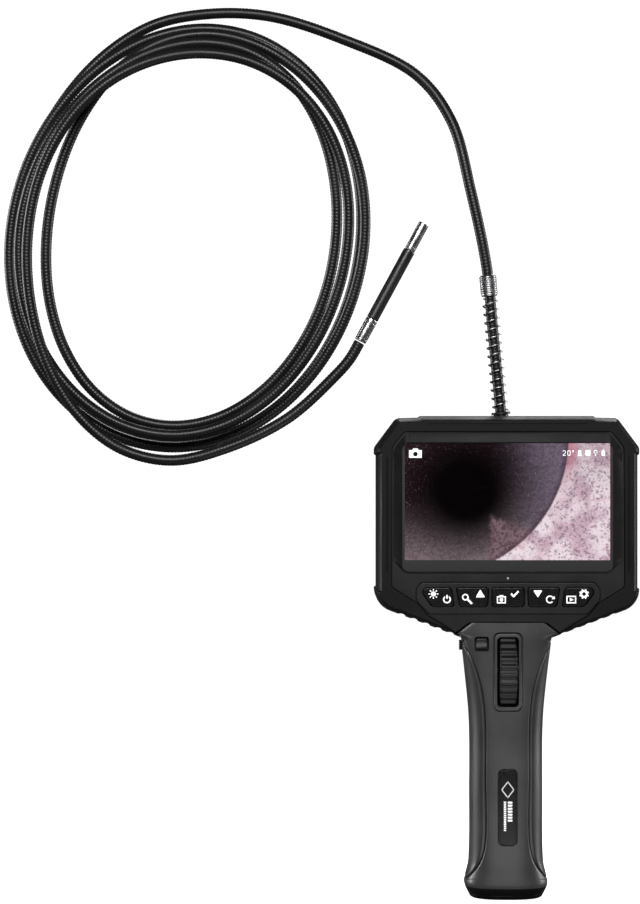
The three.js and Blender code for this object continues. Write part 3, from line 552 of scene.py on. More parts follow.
def brushed(name, red, green, blue, roughness, along=(1.0, 1.0, 0.06), metallic=1.0):
    """Metal or foil with fine lines running along its least stretched direction."""
    s = Surface(name, roughness, metallic)
    lines = s.noise(2.6, 3.0, s.stretched(*along))
    smudges = s.noise(0.12, 2.0)
    darker = srgb(red * 0.82, green * 0.82, blue * 0.82)
    s.give("Base Color", s.mix(s.spread(lines, 0.3, 0.7), darker, srgb(red, green, blue)))
    worn = s.spread(smudges, 0.4, 0.7, roughness - 0.05, roughness + 0.06)
    s.give("Roughness", s.plus(s.spread(lines, 0.3, 0.7, 0.0, 0.12), worn))
    s.bump(lines, 0.0015, 0.15)
    return s.material


def circuit_board():
    s = Surface("circuit_board", 0.45)
    tracks = s.cells(0.45, s.stretched(1.0, 1.0, 1.6))
    parts = s.cells(0.16)
    copper = s.mix(s.spread(tracks, 0.46, 0.5), srgb(22, 74, 48), srgb(48, 110, 70))
    s.give("Base Color", s.mix(s.spread(parts, 0.12, 0.16), srgb(24, 24, 26), copper))
    s.bump(s.spread(parts, 0.12, 0.16, 1.0, 0.0), 0.4)
    return s.material


def clear_glass():
    """Display glass: seen straight through, with a coated mirror-like surface."""
    s = Surface("clear_glass", 0.04)
    smears = s.noise(0.08, 3.0)
    s.give("Base Color", grey(2))
    s.give("Roughness", s.spread(smears, 0.4, 0.8, 0.03, 0.12))
    s.give("Alpha", 0.08)
    return s.material


def lamp(name, colour, strength):
    s = Surface(name, 0.35)
    glow = s.noise(1.6, 1.0)
    s.give("Base Color", colour)
    s.give("Emission Color", colour)
    s.give("Emission Strength", s.spread(glow, 0.2, 0.8, strength * 0.85, strength))
    return s.material


def printed(name, shade, strength=0.0):
    """Printed or lit marks, with the slightly uneven edge tone of ink. With a strength they glow: on the
    screen that is the display's own light, on other print it is painted light.
    """
    s = Surface(name, 0.5)
    ink = s.spread(s.noise(4.0, 1.0), 0.3, 0.7)
    s.give("Base Color", s.mix(ink, grey(shade * 0.93), grey(shade)))
    if strength:
        s.give("Emission Color", s.mix(ink, grey(shade * 0.93), grey(shade)))
        s.give("Emission Strength", strength)
    return s.material


def camera_picture():
    """The lit display: a view down a rough pipe toward its dark end, and black glass round it."""
    s = Surface("camera_picture", 0.3)
    x, _, z = s.axes()
    grain = s.noise(0.75, 4.0)
    speckle = s.noise(1.3, 3.0)
    patches = s.noise(0.1, 4.0)
    streaks = s.noise(0.5, 4.0, s.stretched(0.25, 1.0, 1.0))
    wobble = s.times(s.minus(s.noise(0.3, 4.0), 0.5), 4.0)

    def distance(to_x, to_z):
        across = s.minus(x, to_x)
        up = s.minus(z, to_z)
        return s.math("SQRT", s.plus(s.times(across, across), s.times(up, up)))

    # the pipe's wall, brighter toward the lower right and lost in the dark round the far end
    lower = s.spread(s.minus(z, s.times(x, 0.35)), 186.0, 240.0, 1.0, 0.0)
    wall = s.mix(lower, srgb(52, 34, 42), srgb(150, 132, 138))
    wall = s.mix(s.spread(x, -12.0, 26.0), wall, srgb(118, 104, 122))
    depth = s.spread(distance(-21.8, 221.5), 12.0, 52.0)
    # a lighter wedge of rubble on the floor of the pipe
    roof = s.plus(z, s.plus(s.times(x, 0.4), wobble))
    start = s.spread(s.plus(x, wobble), -11.0, -7.5)
    rubble = s.times(start, s.spread(roof, 202.0, 208.0, 1.0, 0.0))
    wall = s.mix(rubble, wall, srgb(168, 136, 146))
    depth = s.math("MAXIMUM", depth, s.times(rubble, 0.6))
    inside = s.mix(depth, srgb(2, 0, 0), wall)
    rough = s.times(s.spread(s.plus(grain, s.times(streaks, 0.5)), 0.62, 0.9), 0.55)
    rough = s.times(rough, s.plus(s.times(rubble, 0.4), 0.6))
    inside = s.mix(rough, inside, srgb(12, 8, 10))
    lights = s.times(s.spread(speckle, 0.58, 0.75), s.times(depth, 0.5))
    inside = s.mix(lights, inside, srgb(196, 176, 186))

    # the near rim of the pipe: rough pink concrete outside a round edge
    rim = s.minus(distance(-40.8, 249.6), 73.2)
    bright = s.mix(s.spread(patches, 0.36, 0.58), srgb(212, 178, 194), srgb(255, 238, 246))
    bright = s.mix(s.spread(s.noise(0.2, 4.0), 0.5, 0.7, 0, 0.5), bright, srgb(222, 160, 176))
    bright = s.mix(s.spread(z, 210.0, 244.0, 0.0, 0.4), bright, srgb(150, 124, 134))
    bright = s.mix(s.spread(grain, 0.5, 0.66, 0, 0.7), bright, srgb(122, 100, 124))
    bright = s.mix(s.spread(speckle, 0.55, 0.7, 0, 0.75), bright, srgb(255, 246, 250))
    blush = s.times(s.spread(rim, 1.0, 8.0, 1.0, 0.0), s.spread(z, 214.0, 247.0, 0.0, 0.8))
    bright = s.mix(blush, bright, srgb(200, 126, 138))
    picture = s.mix(s.spread(rim, -0.3, 0.6), inside, bright)
    edge = s.times(s.spread(rim, -3.0, -0.2), s.spread(rim, -0.2, 0.9, 1.0, 0.0))
    picture = s.mix(s.times(edge, 0.55), picture, srgb(70, 40, 52))

    across = s.minus(s.math("ABSOLUTE", x), PICTURE["half"])
    middle = (PICTURE["bottom"] + PICTURE["top"]) / 2
    up = s.minus(s.math("ABSOLUTE", s.minus(z, middle)), PICTURE["top"] - middle)
    lit = s.math("LESS_THAN", s.math("MAXIMUM", across, up), 0.0)
    s.give("Base Color", grey(3))
    s.give("Specular IOR Level", 0.0)
    s.give("Emission Color", s.mix(lit, grey(1), picture))
    s.give("Emission Strength", 1.0)
    return s.material


FACE = moulded("satin_face", 23, 0.42, 2.4, 0.012, 0.22)
# the shell is painted black and duller at the handle's lowest end: painted shade
SHELL = moulded("satin_shell", 42, 0.4, 2.6, 0.014, shaded_below=PAINTED_SHADE_TOP)
GRIP = moulded("grip_rubber", 26, 0.42, 2.2, 0.012, 0.6)
GUARD = moulded("guard_rubber", 14, 0.5, 2.0, 0.02, 0.12)
DARK = moulded("dark_plastic", 20, 0.35, 3.0, 0.01)
WHEEL_RUBBER = moulded("wheel_rubber", 12, 0.5, 2.6, 0.01, 0.25)
SLEEVE_RUBBER = moulded("sleeve_rubber", 24, 0.36, 3.4, 0.012)
TUBE = moulded("tube_coating", 20, 0.36, 3.0, 0.008, 0.25)
SILICONE = moulded("silicone", 74, 0.6, 2.0, 0.02)
GLOSS = gloss_black()
STEEL = brushed("bright_steel", 214, 214, 216, 0.2)
WIRE = brushed("spring_wire", 176, 176, 178, 0.3, (0.3, 0.3, 0.3))
ZINC = brushed("zinc_plate", 168, 170, 174, 0.34, (0.08, 1.0, 1.0))
BLUED = brushed("blued_steel", 44, 44, 48, 0.4)
BRASS = brushed("brass", 196, 160, 84, 0.3)
CELL_WRAP = brushed("cell_wrap", 52, 96, 160, 0.35, (0.2, 0.2, 1.0), 0.0)
BOARD = circuit_board()
CLEAR = clear_glass()
PICTURE_GLOW = camera_picture()
# the white print on the keys and the label glows a little: painted light, as no lamp lies behind it
GLOWING_WHITE_INK = printed("white_ink_painted_glow", 248, 0.5)
SCREEN_INK = printed("screen_ink", 245, 1.0)
PALE_INK = printed("pale_ink", 205)
INK_BLACK = printed("black_border", 10)
LAMP = lamp("led_lamp", srgb(250, 250, 242), 1.2)
DIM_LAMP = lamp("status_lamp", srgb(150, 152, 150), 0.25)


# ---------------------------------------------------------------- small flat marks
def mark(outline, front, thickness=0.12):
    return slab(outline, front, front + thickness)


def bar(x0, z0, x1, z1, width):
    """The outline of a straight stroke between two points."""
    along = (Vector((x1, z1)) - Vector((x0, z0))).normalized() * width / 2
    side = Vector((along.y, -along.x))
    start, end = Vector((x0, z0)), Vector((x1, z1))
    return [tuple(p) for p in (start + side, end + side, end - side, start - side)]


def ring(x, z, radius, width, start=0, end=360):
    """The outlines of a round stroke, in pieces of at most a third of a turn."""
    parts = max(1, math.ceil((end - start) / 120))
    outlines = []
    for i in range(parts):
        a, b = start + (end - start) * i / parts, start + (end - start) * (i + 1) / parts
        outer = arc(x, z, radius + width / 2, a, b, 8)
        inner = arc(x, z, radius - width / 2, a, b, 8)
        outlines.append(outer + inner[::-1])
    return outlines


def frame_of(x, z, width, height, stroke):
    """Four bars round a rectangle, none of which overlap."""
    left, right, low, high = x - width / 2, x + width / 2, z - height / 2, z + height / 2
    half = stroke / 2
    return [
        bar(left - half, low, right + half, low, stroke),
        bar(left - half, high, right + half, high, stroke),
        bar(left, low + half, left, high - half, stroke),
        bar(right, low + half, right, high - half, stroke),
    ]


def sun(x, z):
    rays = []
    for i in range(8):
        a = math.pi / 4 * i
        c, s = math.cos(a), math.sin(a)
        rays.append(bar(x + 1.75 * c, z + 1.75 * s, x + 2.6 * c, z + 2.6 * s, 0.55))
    return [disc(x, z, 1.3), *rays]


def gear(x, z):
    teeth = []
    for i in range(8):
        a = math.pi / 4 * i + math.pi / 8
        c, s = math.cos(a), math.sin(a)
        teeth.append(bar(x + 1.95 * c, z + 1.95 * s, x + 2.55 * c, z + 2.55 * s, 0.9))
    return [*ring(x, z, 1.5, 0.9), *teeth]


def tick(x, z):
    return [[(x - 2.2, z + 0.1), (x - 1.5, z + 0.8), (x - 0.5, z - 0.3), (x + 1.8, z + 2.1),
             (x + 2.4, z + 1.4), (x - 0.5, z - 1.6)]]


def symbols():
    """What is printed on each key, as outlines seen from the front."""
    high, low = 166.9, 164.0
    return {
        "key_light": [
            *sun(-39.8, high),
            *ring(-32.6, low, 1.75, 0.65, -235, 55),
            bar(-32.6, low + 0.4, -32.6, low + 2.4, 0.65),
        ],
        "key_zoom": [
            *ring(-22.8, low + 1.2, 1.45, 0.65),
            bar(-21.5, low - 0.1, -19.3, low - 2.3, 1.0),
            softened([(-12.3, 165.1), (-14.9, 169.3), (-17.3, 165.1)][::-1], 0.7)[::-1],
        ],
        "key_capture": [
            *frame_of(-3.6, low - 0.2, 4.2, 3.2, 0.6),
            bar(-4.6, low + 1.85, -2.6, low + 1.85, 0.7),
            disc(-3.6, low - 0.2, 0.95),
            *tick(3.4, high - 0.3),
        ],
        "key_rotate": [
            softened([(13.4, 168.8), (15.8, 165), (18.2, 168.8)], 0.6),
            *ring(22.2, low, 1.75, 0.65, 40, 320),
            [(23.2, low + 0.2), (24.9, low + 0.2), (24.5, low + 1.9)],
        ],
        "key_playback": [
            *frame_of(33.6, low - 0.1, 4.6, 3.4, 0.6),
            [(32.8, low - 1.1), (34.9, low - 0.1), (32.8, low + 0.9)],
            *gear(40.4, high),
        ],
    }


def readout():
    """The marks shown on the display: a camera, a temperature and four small status marks."""
    x, z = -49.2, 241.9
    body = [(x + side, z + up) for side, up in mirrored([(3.4, -2.5), (3.4, 1.6), (1.7, 1.6), (1.2, 2.5)])]
    two = [(0, 2), (0.3, 2.5), (1.2, 2.5), (1.5, 2), (1.5, 1.5), (0, 0), (1.6, 0)]
    zero = [(0.3, 0), (1.2, 0), (1.5, 0.6), (1.5, 1.9), (1.2, 2.5), (0.3, 2.5), (0, 1.9), (0, 0.6)]
    zero.append(zero[0])
    marks = [body]
    line = 240.7
    for start, stroke in ((29.6, two), (32.1, zero)):
        for a, b in zip(stroke, stroke[1:]):
            marks.append(bar(start + a[0], line + a[1], start + b[0], line + b[1], 0.3))
    marks += ring(35.0, 242.9, 0.4, 0.28)
    marks += ring(47.1, 242.6, 0.85, 0.35, -60, 240)
    for x_bar, low, high, width in (
        (38.6, 240.9, 243.4, 1.7), (38.6, 240.4, 240.8, 2.3), (43.05, 240.5, 243.6, 2.6),
        (47.1, 240.5, 241.5, 0.6), (51.2, 240.5, 243.2, 1.8), (51.2, 243.3, 243.7, 0.8),
    ):
        marks.append(bar(x_bar, low, x_bar, high, width))
    return marks, (x, z)


# ---------------------------------------------------------------- display head
def guard_frame():
    guard = skin([[(x, y, z) for x, z in inset(HEAD_OUTLINE, shrink)] for y, shrink in GUARD_DEPTHS])
    foot, slope = Vector(HEAD_OUTLINE[0]), Vector((38.9, 14.7)).normalized()
    outward = Vector((slope.y, -slope.x))
    notches = []
    for i in range(5):
        centre = foot + slope * (6 + 7 * i) + outward * 1.7
        for side in (-1, 1):
            notches.append(slab(disc(side * centre.x, centre.y, 2.8), GUARD_FRONT - 1, GUARD_BACK + 1))
    # thin ridges down both sides and along the top
    ridges = [rounded_rect(x, 209.5, 0.9, 61, 0.4) for x in (-64.4, 64.4)]
    ridges.append(rounded_rect(0, 258, 84, 0.9, 0.4))
    joined(guard, *(slab(ridge, GUARD_FRONT - 0.4, GUARD_FRONT + 0.8, 0.3) for ridge in ridges))
    # the opening for the cover's shoulders in front, and a narrower one behind for the handle's neck
    shoulders = mirrored([(24.5, 140), (24.5, 143.2), (28.3, 145.5), (28.3, 153)])
    throat = mirrored([(24.5, 140), (24.5, 143), (25.6, 144), (25.6, 153)])
    cut(
        guard,
        slab(inset(FACE_OUTLINE, -GAP), GUARD_FRONT - 1, LIP_BACK + 1),
        slab(inset(HOUSING_OUTLINE, -GAP), LIP_BACK - GAP, GUARD_BACK + 1),
        slab(shoulders, GUARD_FRONT - 1, -14.5),
        slab(throat, -15, GUARD_BACK + 1),
        block(60, 80, PORT["front"] - 0.5, PORT["back"] + GAP, PORT["bottom"] - GAP, PORT["top"] + GAP),
        gland_hole(),
        *notches,
    )
    piece("guard", guard, ["guard_frame"], "handset", [GUARD])


def display_recess():
    """The space inside the sloped walls that lead from the face down to the glass."""
    front, back = softened(mirrored(RECESS_FRONT), 2.4), softened(mirrored(RECESS_BACK), 2.4)
    beyond = [(x + (x - bx) / 3, z + (z - bz) / 3) for (x, z), (bx, bz) in zip(front, back)]
    rings = [[(x, y, z) for x, z in outline] for y, outline in
             ((FRONT_WALL_BACK + 1, back), (LIP_BACK, back), (FACE_FRONT - 1, beyond))]
    return skin(rings)


def front_housing():
    tray = slab(HOUSING_OUTLINE, LIP_BACK, -0.15)
    joined(tray, slab(FACE_OUTLINE, FACE_FRONT, LIP_BACK + 1))
    # below the keypad the face falls back slightly, toward the handle
    slope = prism([(-22, 155.9), (FACE_FRONT, 155.9), (FACE_FRONT + 1.8, 144), (-22, 144)], -60, 60)
    cut(
        tray,
        slab(softened(inset(HOUSING_CORNERS, WALL), 2), FRONT_WALL_BACK, 1),
        display_recess(),
        slab(glass_outline(GAP), LIP_BACK + 0.01, FRONT_WALL_BACK + 1),
        slope,
        slab(inset(KEYPAD_OUTLINE, -GAP), FACE_FRONT - 1, FACE_FRONT + 0.6),
        slab(inset(KEYPAD_OUTLINE, 2.2), FACE_FRONT - 1, FRONT_WALL_BACK + 1),
        slab(inset(softened(mirrored(COVER_TOP), 1.2), -GAP), FACE_FRONT - 1, 1),
        block(60, 80, PORT["front"] + 1, PORT["back"] - 1, PORT["bottom"] + 1, PORT["top"] - 1),
        slab(disc(0, LED_HEIGHT, 0.9), FACE_FRONT - 1, FRONT_WALL_BACK + 1),
        gland_hole(),
    )
    piece("face", tray, ["front_housing"], "handset", [FACE])


def rear_housing():
    edge = 3.4
    levels = [(GAP / 2, 0.0)]
    for turn in (0, 0.3, 0.6, 0.9, 1.2, math.pi / 2):
        levels.append((HEAD_BACK - edge + edge * math.sin(turn), edge * (1 - math.cos(turn))))
    shell = skin([[(x, y, z) for x, z in inset(HOUSING_OUTLINE, shrink)] for y, shrink in levels])
    wells = []
    for x, z in HEAD_SCREWS:
        wells.append(slab(disc(x, z, SCREW_WELL, 36), HEAD_BACK - 2.3, HEAD_BACK + 1))
        wells.append(slab(disc(x, z, SCREW_HOLE), -1, HEAD_BACK))
    # a shallow panel line round the middle of the back
    groove = slab(softened(inset(HOUSING_CORNERS, 9), 3), HEAD_BACK - 0.5, HEAD_BACK + 1)
    cut(groove, slab(softened(inset(HOUSING_CORNERS, 9.7), 3), HEAD_BACK - 2, HEAD_BACK + 2))
    cavity = slab(softened(inset(HOUSING_CORNERS, WALL), 2), -1, HEAD_BACK - WALL)
    into_handle = block(-20, 20, -1, HEAD_BACK - WALL, 143, 150)
    cut(shell, cavity, into_handle, gland_hole(), groove, *wells)
    piece("rear_shell", shell, ["rear_housing"], "handset", [SHELL])


def display():
    glass = slab(glass_outline(0), GLASS["front"], GLASS["back"], 0.2)
    border = slab(glass_outline(-0.1), GLASS["back"] - 0.3, GLASS["back"] - 0.1)
    middle = (PICTURE["bottom"] + PICTURE["top"]) / 2
    window = rounded_rect(0, middle, PICTURE["half"] * 2, PICTURE["top"] - PICTURE["bottom"], 0.8)
    cut(border, slab(window, GLASS["front"], GLASS["back"] + 1))
    with_parts(glass, [border], 1)
    piece("glass", glass, ["display_glass"], "handset", [CLEAR, INK_BLACK])
    middle = (PANEL["bottom"] + PANEL["top"]) / 2
    outline = rounded_rect(0, middle, PANEL["width"], PANEL["top"] - PANEL["bottom"], 1)
    panel = slab(outline, PANEL["front"], PANEL["back"], 0.1)
    marks, (x, z) = readout()
    front = PANEL["front"] - 0.08
    with_parts(panel, [mark(m, front, 0.05) for m in marks], 1)
    with_parts(panel, [mark(disc(x, z - 0.5, 1.25), front - 0.04, 0.03)], 2)
    piece("screen", panel, ["display_panel"], "handset", [PICTURE_GLOW, SCREEN_INK, GLOSS])


def status_led():
    dome = slab(disc(0, LED_HEIGHT, 0.6), FACE_FRONT - 0.05, FRONT_WALL_BACK, 0.25)
    piece("status_lamp", dome, ["status_led"], "handset", [DIM_LAMP])


def port_door():
    low, high = PORT["bottom"], PORT["top"]
    door = block(67.6, PORT["x"], PORT["front"], PORT["back"], low, high)
    joined(door, block(65.4, 68, PORT["front"] + 2.1, PORT["back"] - 1.6, low + 1.6, high - 1.6))
    pull = prism(disc(PORT["front"], (low + high) / 2, 1.7), 69.2, 72)
    cut(door, pull)
    piece("port_flap", door, ["port_cover"], "port_door", [GUARD])


# ---------------------------------------------------------------- keypad
def keypad():
    rim = slab(KEYPAD_OUTLINE, KEYPAD_FRONT, FACE_FRONT + GAP, 0.45)
    joined(rim, slab(inset(KEYPAD_OUTLINE, 2.5), FACE_FRONT, LIP_BACK + 1))
    cut(rim, *(slab(key_outline(name, GAP), KEYPAD_FRONT - 1, LIP_BACK + 2) for name in KEYS))
    piece("keypad_rim", rim, ["keypad_frame"], "handset", [FACE])
    for name, outlines in symbols().items():
        key = slab(key_outline(name, 0), KEY["front"], KEY["back"], 0.5)
        with_parts(key, [mark(outline, KEY["front"] - 0.04) for outline in outlines], 1)
        piece(name + "_cap", key, [name], KEY_BODIES[name], [GLOSS, GLOWING_WHITE_INK])


# ---------------------------------------------------------------- handle
def handle_section(z):
    """Half width, front, back and power of the handle at a height, eased between its sections."""
    heights = [section[0] for section in HANDLE_SECTIONS]
    i = min(max(bisect_left(heights, z), 1), len(heights) - 1)
    (z0, *low), (z1, *high) = HANDLE_SECTIONS[i - 1], HANDLE_SECTIONS[i]
    t = (z - z0) / (z1 - z0)

    def slope(k, at):
        """The slope of a value at a section. At the ends and the heel each span keeps its own."""
        if at == 0 or at == len(heights) - 1 or at == 1:
            return None
        (za, *a), (zb, *b) = HANDLE_SECTIONS[at - 1], HANDLE_SECTIONS[at + 1]
        return (b[k] - a[k]) / (zb - za)

    values = []
    for k, (a, b) in enumerate(zip(low, high)):
        chord = (b - a) / (z1 - z0)
        leave, arrive = slope(k, i - 1), slope(k, i)
        leave = (chord if leave is None else leave) * (z1 - z0)
        arrive = (chord if arrive is None else arrive) * (z1 - z0)
        values.append(hermite(t, a, b, leave, arrive))
    return values


def handle_point(z, angle, shrink):
    """The point of the handle's outline in a direction, taken on the outline scaled to unit size."""
    half, front, back, power = handle_section(z)
    across, along = math.cos(angle), math.sin(angle)
    reach = (abs(across) ** power + abs(along) ** power) ** (-1 / power)
    x = (half - shrink) * across * reach
    y = (front + back) / 2 + ((back - front) / 2 - shrink) * along * reach
    return Vector((x, y, z))


GRIP_CURVE = sorted((p.y, p.x) for p in spline(GRIP_EDGE, 12))


def grip_angle(z):
    """Angle, from straight sideways, at which the front cover ends at a height.

    A grip fills the space between the covers up to GRIP_TOP, and the back of the handle does above it.
    """
    half, _, _, power = handle_section(z)
    heights = [point[0] for point in GRIP_CURVE]
    if z <= heights[0]:
        return 0.0
    i = min(bisect_left(heights, z), len(heights) - 1)
    (z0, x0), (z1, x1) = GRIP_CURVE[i - 1], GRIP_CURVE[i]
    widest = 0.985 if z > WHEEL["z"] else 1.0
    across = min(widest, (x0 + (x1 - x0) * (z - z0) / (z1 - z0)) / half)
    return math.atan2((1 - across ** power) ** (1 / power), across)


def panel_ring(z, first, last, columns, drop):
    """One closed section of a curved panel: its outside from first to last angle, then its inside."""
    spans = 80
    samples = [handle_point(z, first + (last - first) * i / spans, 0) for i in range(spans + 1)]
    lengths = [0.0]
    for a, b in zip(samples, samples[1:]):
        lengths.append(lengths[-1] + (b - a).length)
    total = lengths[-1]
    edge = min(1.6, total * 0.3)
    rounding = [(edge * (1 - math.cos(a)), 1 - math.sin(a)) for a in (0, 0.4, 0.8, 1.2, math.pi / 2)]
    stations = list(rounding)
    stations += [(edge + (total - 2 * edge) * i / columns, 0.0) for i in range(1, columns)]
    stations += [(total - distance, share) for distance, share in reversed(rounding)]
    outside, inside = [], []
    for distance, share in stations:
        i = min(max(bisect_left(lengths, distance), 1), spans)
        t = (distance - lengths[i - 1]) / max(lengths[i] - lengths[i - 1], 1e-6)
        angle = first + (last - first) * (i - 1 + t) / spans
        outside.append(handle_point(z, angle, min(1.0, share + drop) * min(1.4, total)))
        inside.append(handle_point(z, angle, PANEL_THICK))
    return outside + inside[::-1]


def handle_panel(low, high, angles, columns, rounded_ends=True, spacing=0.8):
    """A curved panel of the handle's skin between two heights; angles(z) gives its first and last."""
    seam = 0.008
    ends = [(0.0, 0.0)]
    if rounded_ends:
        ends = [(0.0, 0.9), (0.15, 0.55), (0.45, 0.25), (0.9, 0.05), (1.4, 0.0)]
    heights = [(low + rise, drop) for rise, drop in ends]
    steps = int((high - low) / spacing)
    inner_low, inner_high = heights[-1][0], high - ends[-1][0]
    heights += [(inner_low + (inner_high - inner_low) * i / steps, 0.0) for i in range(1, steps)]
    heights += [(high - rise, drop) for rise, drop in reversed(ends)]
    rings = []
    for z, drop in heights:
        first, last = angles(z)
        rings.append(panel_ring(z, first + seam, last - seam, columns, drop))
    return skin(rings)


def slider_slot():
    """The opening in the left side that the lock slider moves in."""
    low, high = SLIDER["bottom"] - SLIDER_TRAVEL - GAP, SLIDER["top"] + GAP
    return block(-30, -15, SLIDER["front"] - GAP, SLIDER["back"] + GAP, low, high)


def front_cover():
    cover = handle_panel(
        CAP_TOP + 0.15, HANDLE_SECTIONS[-1][0],
        lambda z: (grip_angle(z) - math.pi, -grip_angle(z)), 44, rounded_ends=False)
    x, z = BUTTON["x"], BUTTON["z"]
    grown = 2 * GAP
    width, height = BEZEL["width"] + grown, BEZEL["height"] + grown
    bezel_seat = rounded_rect(0, WHEEL["z"], width, height, BEZEL["corner"])
    label_seat = rounded_rect(0, LABEL["z"], LABEL["width"] + grown, LABEL["height"] + grown, 3.1)
    wheel_room = disc(WHEEL["y"], WHEEL["z"], WHEEL["radius"] + 2 * GAP, 36)
    room_half = WHEEL["width"] / 2 + 2 * GAP
    cut(
        cover,
        block(-30, 30, -15.5, 1, 144.4, 153),
        slab(bezel_seat, -30, BEZEL["back"] + GAP),
        slab(rounded_rect(0, WHEEL["z"], SLOT["width"], SLOT["height"], SLOT["corner"]), -30, -10),
        prism(wheel_room, -room_half, room_half),
        slab(label_seat, -30, LABEL["back"] + GAP),
        slab(rounded_rect(x, z, 7.6, 8.0, 1.4), -30, -10),
    )
    piece("handle_cover", cover, ["handle_front_cover"], "handset", [SHELL])


def side_grips():
    # a grip starts where its two edges are far enough apart for a rounded end
    low = next(z for z in (9 + i * 0.1 for i in range(60)) if grip_angle(z) > 0.2)
    for side, name in ((-1, "left"), (1, "right")):
        turn = 0.0 if side > 0 else math.pi
        grip = handle_panel(low, GRIP_TOP, lambda z: (turn - grip_angle(z), turn + grip_angle(z)), 40)
        if side < 0:
            cut(grip, slider_slot())
        piece("grip_" + name + "_skin", grip, ["grip_" + name], "handset", [GRIP])


def rear_handle():
    back = handle_panel(
        CAP_TOP + 0.15, GRIP_TOP + GAP,
        lambda z: (grip_angle(z), math.pi - grip_angle(z)), 36, rounded_ends=False)
    # above the grips the back reaches round both sides to the front cover
    neck = handle_panel(
        GRIP_TOP + GAP, 144.2,
        lambda z: (-grip_angle(z), math.pi + grip_angle(z)), 60, rounded_ends=False, spacing=0.3)
    boss_holes = [slab(disc(x, z, SCREW_WELL, 36), 14.3, 25) for x, z in HANDLE_SCREWS]
    bosses = [slab(disc(x, z, SCREW_WELL + 0.5, 36), 12.4, 16.4) for x, z in HANDLE_SCREWS]
    joined(back, *bosses)
    cut(back, *boss_holes, slider_slot())
    with_parts(back, [neck])
    piece("handle_back", back, ["rear_housing"], "handset", [SHELL])


def base_cap():
    rings = []
    corners = 96

    def ring_at(rise, shrink):
        return [handle_point(BASE + rise, 2 * math.pi * i / corners, shrink) for i in range(corners)]

    for rise, shrink in ((0, 1.2), (0.15, 0.6), (0.5, 0.15), (1.0, 0.0), (2.2, 0.0), (2.4, 0.15)):
        rings.append(ring_at(rise, shrink))
    cap = skin(rings)
    joined(cap, skin([ring_at(rise, 2.9) for rise in (1, 6)]))
    piece("end_cap", cap, ["base_cap"], "handset", [SHELL])


def label_plate():
    outline = rounded_rect(0, LABEL["z"], LABEL["width"], LABEL["height"], 2.8)
    plate = slab(outline, LABEL["front"], LABEL["back"], 0.35)
    cut(plate, slab(inset(outline, 0.9), LABEL["front"] - 1, LABEL["front"] + 0.25))
    # a plain lozenge and two columns of strokes stand in for the mark and the lettering
    front = LABEL["front"] + 0.2
    z = LABEL["z"] + 9.5
    corners = [(0, z - 4.2), (3.2, z), (0, z + 4.2), (-3.2, z)]
    lozenge = [bar(*a, *b, 0.55) for a, b in zip(corners, corners[1:] + corners[:1])]
    strokes = []
    for x, width, count, pitch in ((1.2, 2.3, 7, 1.6), (-1.5, 1.2, 16, 1.0)):
        for i in range(count):
            top = z - 6.4 - pitch * i
            strokes.append(bar(x, top - pitch * 0.55, x, top, width))
    with_parts(plate, [mark(m, front, 0.08) for m in strokes], 1)
    with_parts(plate, [mark(m, front, 0.08) for m in lozenge], 2)
    piece("label_badge", plate, ["label_plate"], "handset", [GLOSS, GLOWING_WHITE_INK, PALE_INK])


def handle_button():
    x, z, size = BUTTON["x"], BUTTON["z"], BUTTON["size"]
    front = BUTTON["front"]
    button = slab(rounded_rect(x, z, size, size, 0.9), front, BUTTON["back"], 0.3)
    facet = prism([(-19, z + 0.6), (front, z + 0.6), (front + 1.5, z - 3.2), (-19, z - 3.2)], x - 4, x + 4)
    cut(button, facet)
    joined(button, slab(rounded_rect(x, z, 7.1, 7.5, 1.2), front + 2.6, front + 3.6))
    piece("square_button", button, ["handle_button"], "handle_push", [DARK])


def lock_slider():
    s = SLIDER
    slider = block(-s["outer"], -s["inner"], s["front"], s["back"], s["bottom"], s["top"])
    grooves = []
    for i in range(4):
        z = s["bottom"] + 0.55 + 1.2 * i
        outer = -s["outer"]
        grooves.append(block(outer - 1, outer + 0.4, s["front"] - 1, s["back"] + 1, z, z + 0.5))
    cut(slider, *grooves)
    piece("lock_slide_knob", slider, ["lock_slider"], "wheel_lock", [DARK])


# ---------------------------------------------------------------- steering wheel
def steering_wheel():
    width, height = BEZEL["width"] - 0.7, BEZEL["height"] - 0.7
    outline = rounded_rect(0, WHEEL["z"], width, height, BEZEL["corner"] - 0.3)
    bezel = slab(outline, BEZEL["front"], BEZEL["back"], 0.6)
    cut(bezel, slab(rounded_rect(0, WHEEL["z"], SLOT["width"], SLOT["height"], SLOT["corner"]), -30, -10))
    piece("wheel_rim", bezel, ["wheel_bezel"], "handset", [SHELL])

    half = WHEEL["width"] / 2
    shoulder = [(half, 1.0), (half - 0.25, 0.35), (half - 0.8, 0)]
    rib_shape = [  # one rib: the share of its pitch and the share of its depth
        (0, 0.5), (0.1, 0.1), (0.25, 0), (0.4, 0.1), (0.5, 0.5), (0.62, 1), (0.75, 1), (0.9, 0.85),
    ]
    rings = []
    for x, drop in [(-x, drop) for x, drop in shoulder] + shoulder[::-1]:
        points = []
        for rib in range(WHEEL["ribs"]):
            for share, depth in rib_shape:
                a = 2 * math.pi * (rib + share) / WHEEL["ribs"]
                radius = WHEEL["radius"] - drop - depth * WHEEL["rib_depth"]
                points.append((x, WHEEL["y"] + radius * math.cos(a), WHEEL["z"] + radius * math.sin(a)))
        rings.append(points)
    wheel = skin(rings)
    piece("ribbed_wheel", wheel, ["thumb_wheel"], "steering_wheel", [WHEEL_RUBBER], sharp=60)


